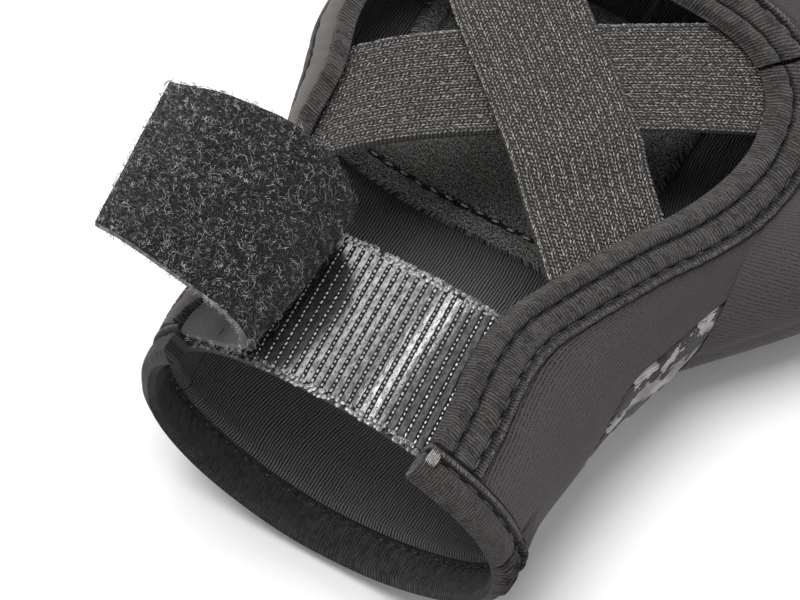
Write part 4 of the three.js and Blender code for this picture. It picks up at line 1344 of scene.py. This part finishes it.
def thumb_point(angle, reach, depth):
    angle, reach, depth = np.broadcast_arrays(angle, reach, depth)
    radius = mix(THUMB_RADIUS, THUMB_TIP_RADIUS, np.maximum(0, reach) / THUMB_LENGTH) - depth
    return (THUMB_CENTRE + reach[..., None] * THUMB_ALONG
            + (radius * np.cos(angle))[..., None] * THUMB_ACROSS
            + (radius * np.sin(angle))[..., None] * THUMB_UP)


def thumb_leaves(angle, depth):
    """How far along its line the thumb's skin leaves the body's skin."""
    low, high = np.full_like(angle, -THUMB_RADIUS * 2), np.full_like(angle, THUMB_LENGTH)
    for _ in range(24):
        reach = (low + high) / 2
        p = thumb_point(angle, reach, depth)
        s = section(p[..., 1])
        left = p[..., 0] < 0
        half, side = s["height"] / 2 + GAP, np.where(left, s["little"], s["thumb"]) + GAP
        rise = p[..., 2] - s["lift"] - s["height"] / 2
        square = square_of(s, ~left, rise < 0)
        level = np.abs(p[..., 0] / side) ** square + np.abs(rise / half) ** square
        low, high = np.where(level < 1, reach, low), np.where(level < 1, high, reach)
    return high


def hem_profile(v, swell):
    """Outer rise and inner depth of a small turned hem, v from its inner edge to its mouth."""
    ridge = swell * crown(v, 0.56, 0.46, 2.6)
    cord = swell * 0.8 * crown(v, 0.06, 0.1, 2.0)
    roll = smooth(1 - v, 0, 0.16)
    return mix(-0.7, np.maximum(ridge, cord), roll), mix(0.85, FINGER_WALL + swell * 0.5 * (v < 0.9), roll)


def tube_pieces(name, point, start, end, hem, girth_mm, sink=0.0):
    """Sleeve and hem of one finger: point(angle, reach, depth), start and end of the sleeve."""
    u, v = grids(72, 40)
    u, v = u[:, :-1], v[:, :-1]
    turn = 2 * math.pi * u
    reach = lambda depth: mix(start(turn, depth) - sink, end, v)
    swell = 0.22 * np.sin(np.pi * v) * np.sin(turn * 3 + 1.3) + 0.12 * np.sin(turn * 5 + v * 6)
    seam = 0.35 * np.exp(-((np.cos(turn) + 1) / 0.004))
    outer = point(turn, reach(0), -swell * np.sin(np.pi * v) + seam)
    inner = point(turn, reach(FINGER_WALL), FINGER_WALL - swell * np.sin(np.pi * v))
    uv = np.stack([lengths_along(outer, axis=1), v * (end + 6)], -1)
    looks = ["sleeve", "lining", "cut_edge"]
    place(solid(f"{name}_sleeve_cloth", outer, inner, uv, looks, ring=True), "knit", f"{name}_sleeve")
    u, v = grids(160, 18)
    u, v = u[:, :-1], v[:, :-1]
    turn = 2 * math.pi * u
    rise, depth = hem_profile(v, FINGER_HEM_SWELL)
    outer, inner = (point(turn, hem + v * FINGER_HEM, d) for d in (-rise, depth))
    uv = np.stack([v * FINGER_HEM, u * girth_mm], -1)
    looks = ["binding", "hem_inside", "binding"]
    place(solid(f"{name}_hem_cloth", outer, inner, uv, looks, ring=True), "binding", f"{name}_hem")
    t = np.linspace(0, 2 * math.pi, 140)
    line, above = (point(t, hem + 0.85, d) for d in (-0.05, -1))
    stitches = stitch_row(line, above, 3.0, 2.2, 0.32, 0.28)
    threads(f"{name}_hem_stitches", [stitches], "thread", "binding")


def fingers():
    for f in finger_places():
        point = lambda angle, reach, depth, f=f: finger_point(f, angle, reach, depth)
        hem = f["length"] - FINGER_HEM
        tube_pieces(f["name"], point, lambda turn, depth: 0 * turn, hem - GAP, hem, f["width"] * 3)


def thumb():
    hem = THUMB_LENGTH - FINGER_HEM
    tube_pieces("thumb", thumb_point, thumb_leaves, hem - GAP, hem, THUMB_GIRTH, THUMB_SINK)


# Stage

AZIMUTH, ELEVATION = math.radians(30.5), math.radians(62)
TARGET = Vector((0, -0.048, 0.038))
DISTANCE = 0.48
PIXELS_PER_METRE = 7150
FRAME_WIDTH = 800
SENSOR = 36
AIM_RIGHT, AIM_UP = 25 / PIXELS_PER_METRE, 31 / PIXELS_PER_METRE


def camera():
    level = math.cos(ELEVATION)
    back = Vector((math.sin(AZIMUTH) * level, -math.cos(AZIMUTH) * level, math.sin(ELEVATION)))
    right = Vector((math.cos(AZIMUTH), math.sin(AZIMUTH), 0))
    up = back.cross(right)
    data = bpy.data.cameras.new("camera")
    data.sensor_width = SENSOR
    data.lens = PIXELS_PER_METRE * DISTANCE * SENSOR / FRAME_WIDTH
    data.clip_start, data.clip_end = 0.01, 20
    made = bpy.data.objects.new("camera", data)
    bpy.context.scene.collection.objects.link(made)
    made.location = TARGET + right * AIM_RIGHT + up * AIM_UP + back * DISTANCE
    made.rotation_euler = (-back).to_track_quat("-Z", "Y").to_euler()
    bpy.context.scene.camera = made


def light(name, place_at, aim, size, power, tall=None):
    """A soft lamp: a disk, or a strip of that width where tall gives its height."""
    data = bpy.data.lights.new(name, "AREA")
    data.shape, data.size, data.energy = "RECTANGLE" if tall else "DISK", size, power
    if tall:
        data.size_y = tall
    made = bpy.data.objects.new(name, data)
    bpy.context.scene.collection.objects.link(made)
    made.location = place_at
    made.rotation_euler = (Vector(aim) - Vector(place_at)).to_track_quat("-Z", "Y").to_euler()


def stage():
    mesh = bpy.data.meshes.new("floor")
    half = 3
    corners = [(-half, -half, 0), (half, -half, 0), (half, half, 0), (-half, half, 0)]
    mesh.from_pydata(corners, [], [(0, 1, 2, 3)])
    floor = bpy.data.objects.new("floor", mesh)
    bpy.context.scene.collection.objects.link(floor)
    look = bpy.data.materials.new("floor")
    look.use_nodes = True
    shader = look.node_tree.nodes["Principled BSDF"]
    shader.inputs["Base Color"].default_value = (0.93, 0.93, 0.93, 1)
    shader.inputs["Roughness"].default_value = 0.9
    mesh.materials.append(look)
    world = bpy.data.worlds.new("world")
    world.use_nodes = True
    world.node_tree.nodes["Background"].inputs[0].default_value = (1, 1, 1, 1)
    world.node_tree.nodes["Background"].inputs[1].default_value = 0.42
    bpy.context.scene.world = world
    aim = (0, -0.02, 0.02)
    light("key", (-0.2, 0.05, 1.15), aim, 0.8, 11.5)
    light("fill", (0.75, -0.55, 0.75), aim, 0.7, 0.9)
    light("side", (-0.8, 0.1, 0.75), aim, 0.6, 2.6)
    light("rim", (-0.045, 0.64, 0.79), aim, 0.06, 0.85, tall=0.55)
    light("back_soft", (-0.36, 0.65, 0.72), aim, 0.42, 0.9)
    bpy.context.scene.view_settings.view_transform = "Standard"


def main():
    camera()
    stage()
    bindings()
    back_panels()
    palm()
    wrist_hem()
    hook_tape()
    elastic_straps()
    loop_tab()
    palm_pad()
    fingers()
    thumb()


main()
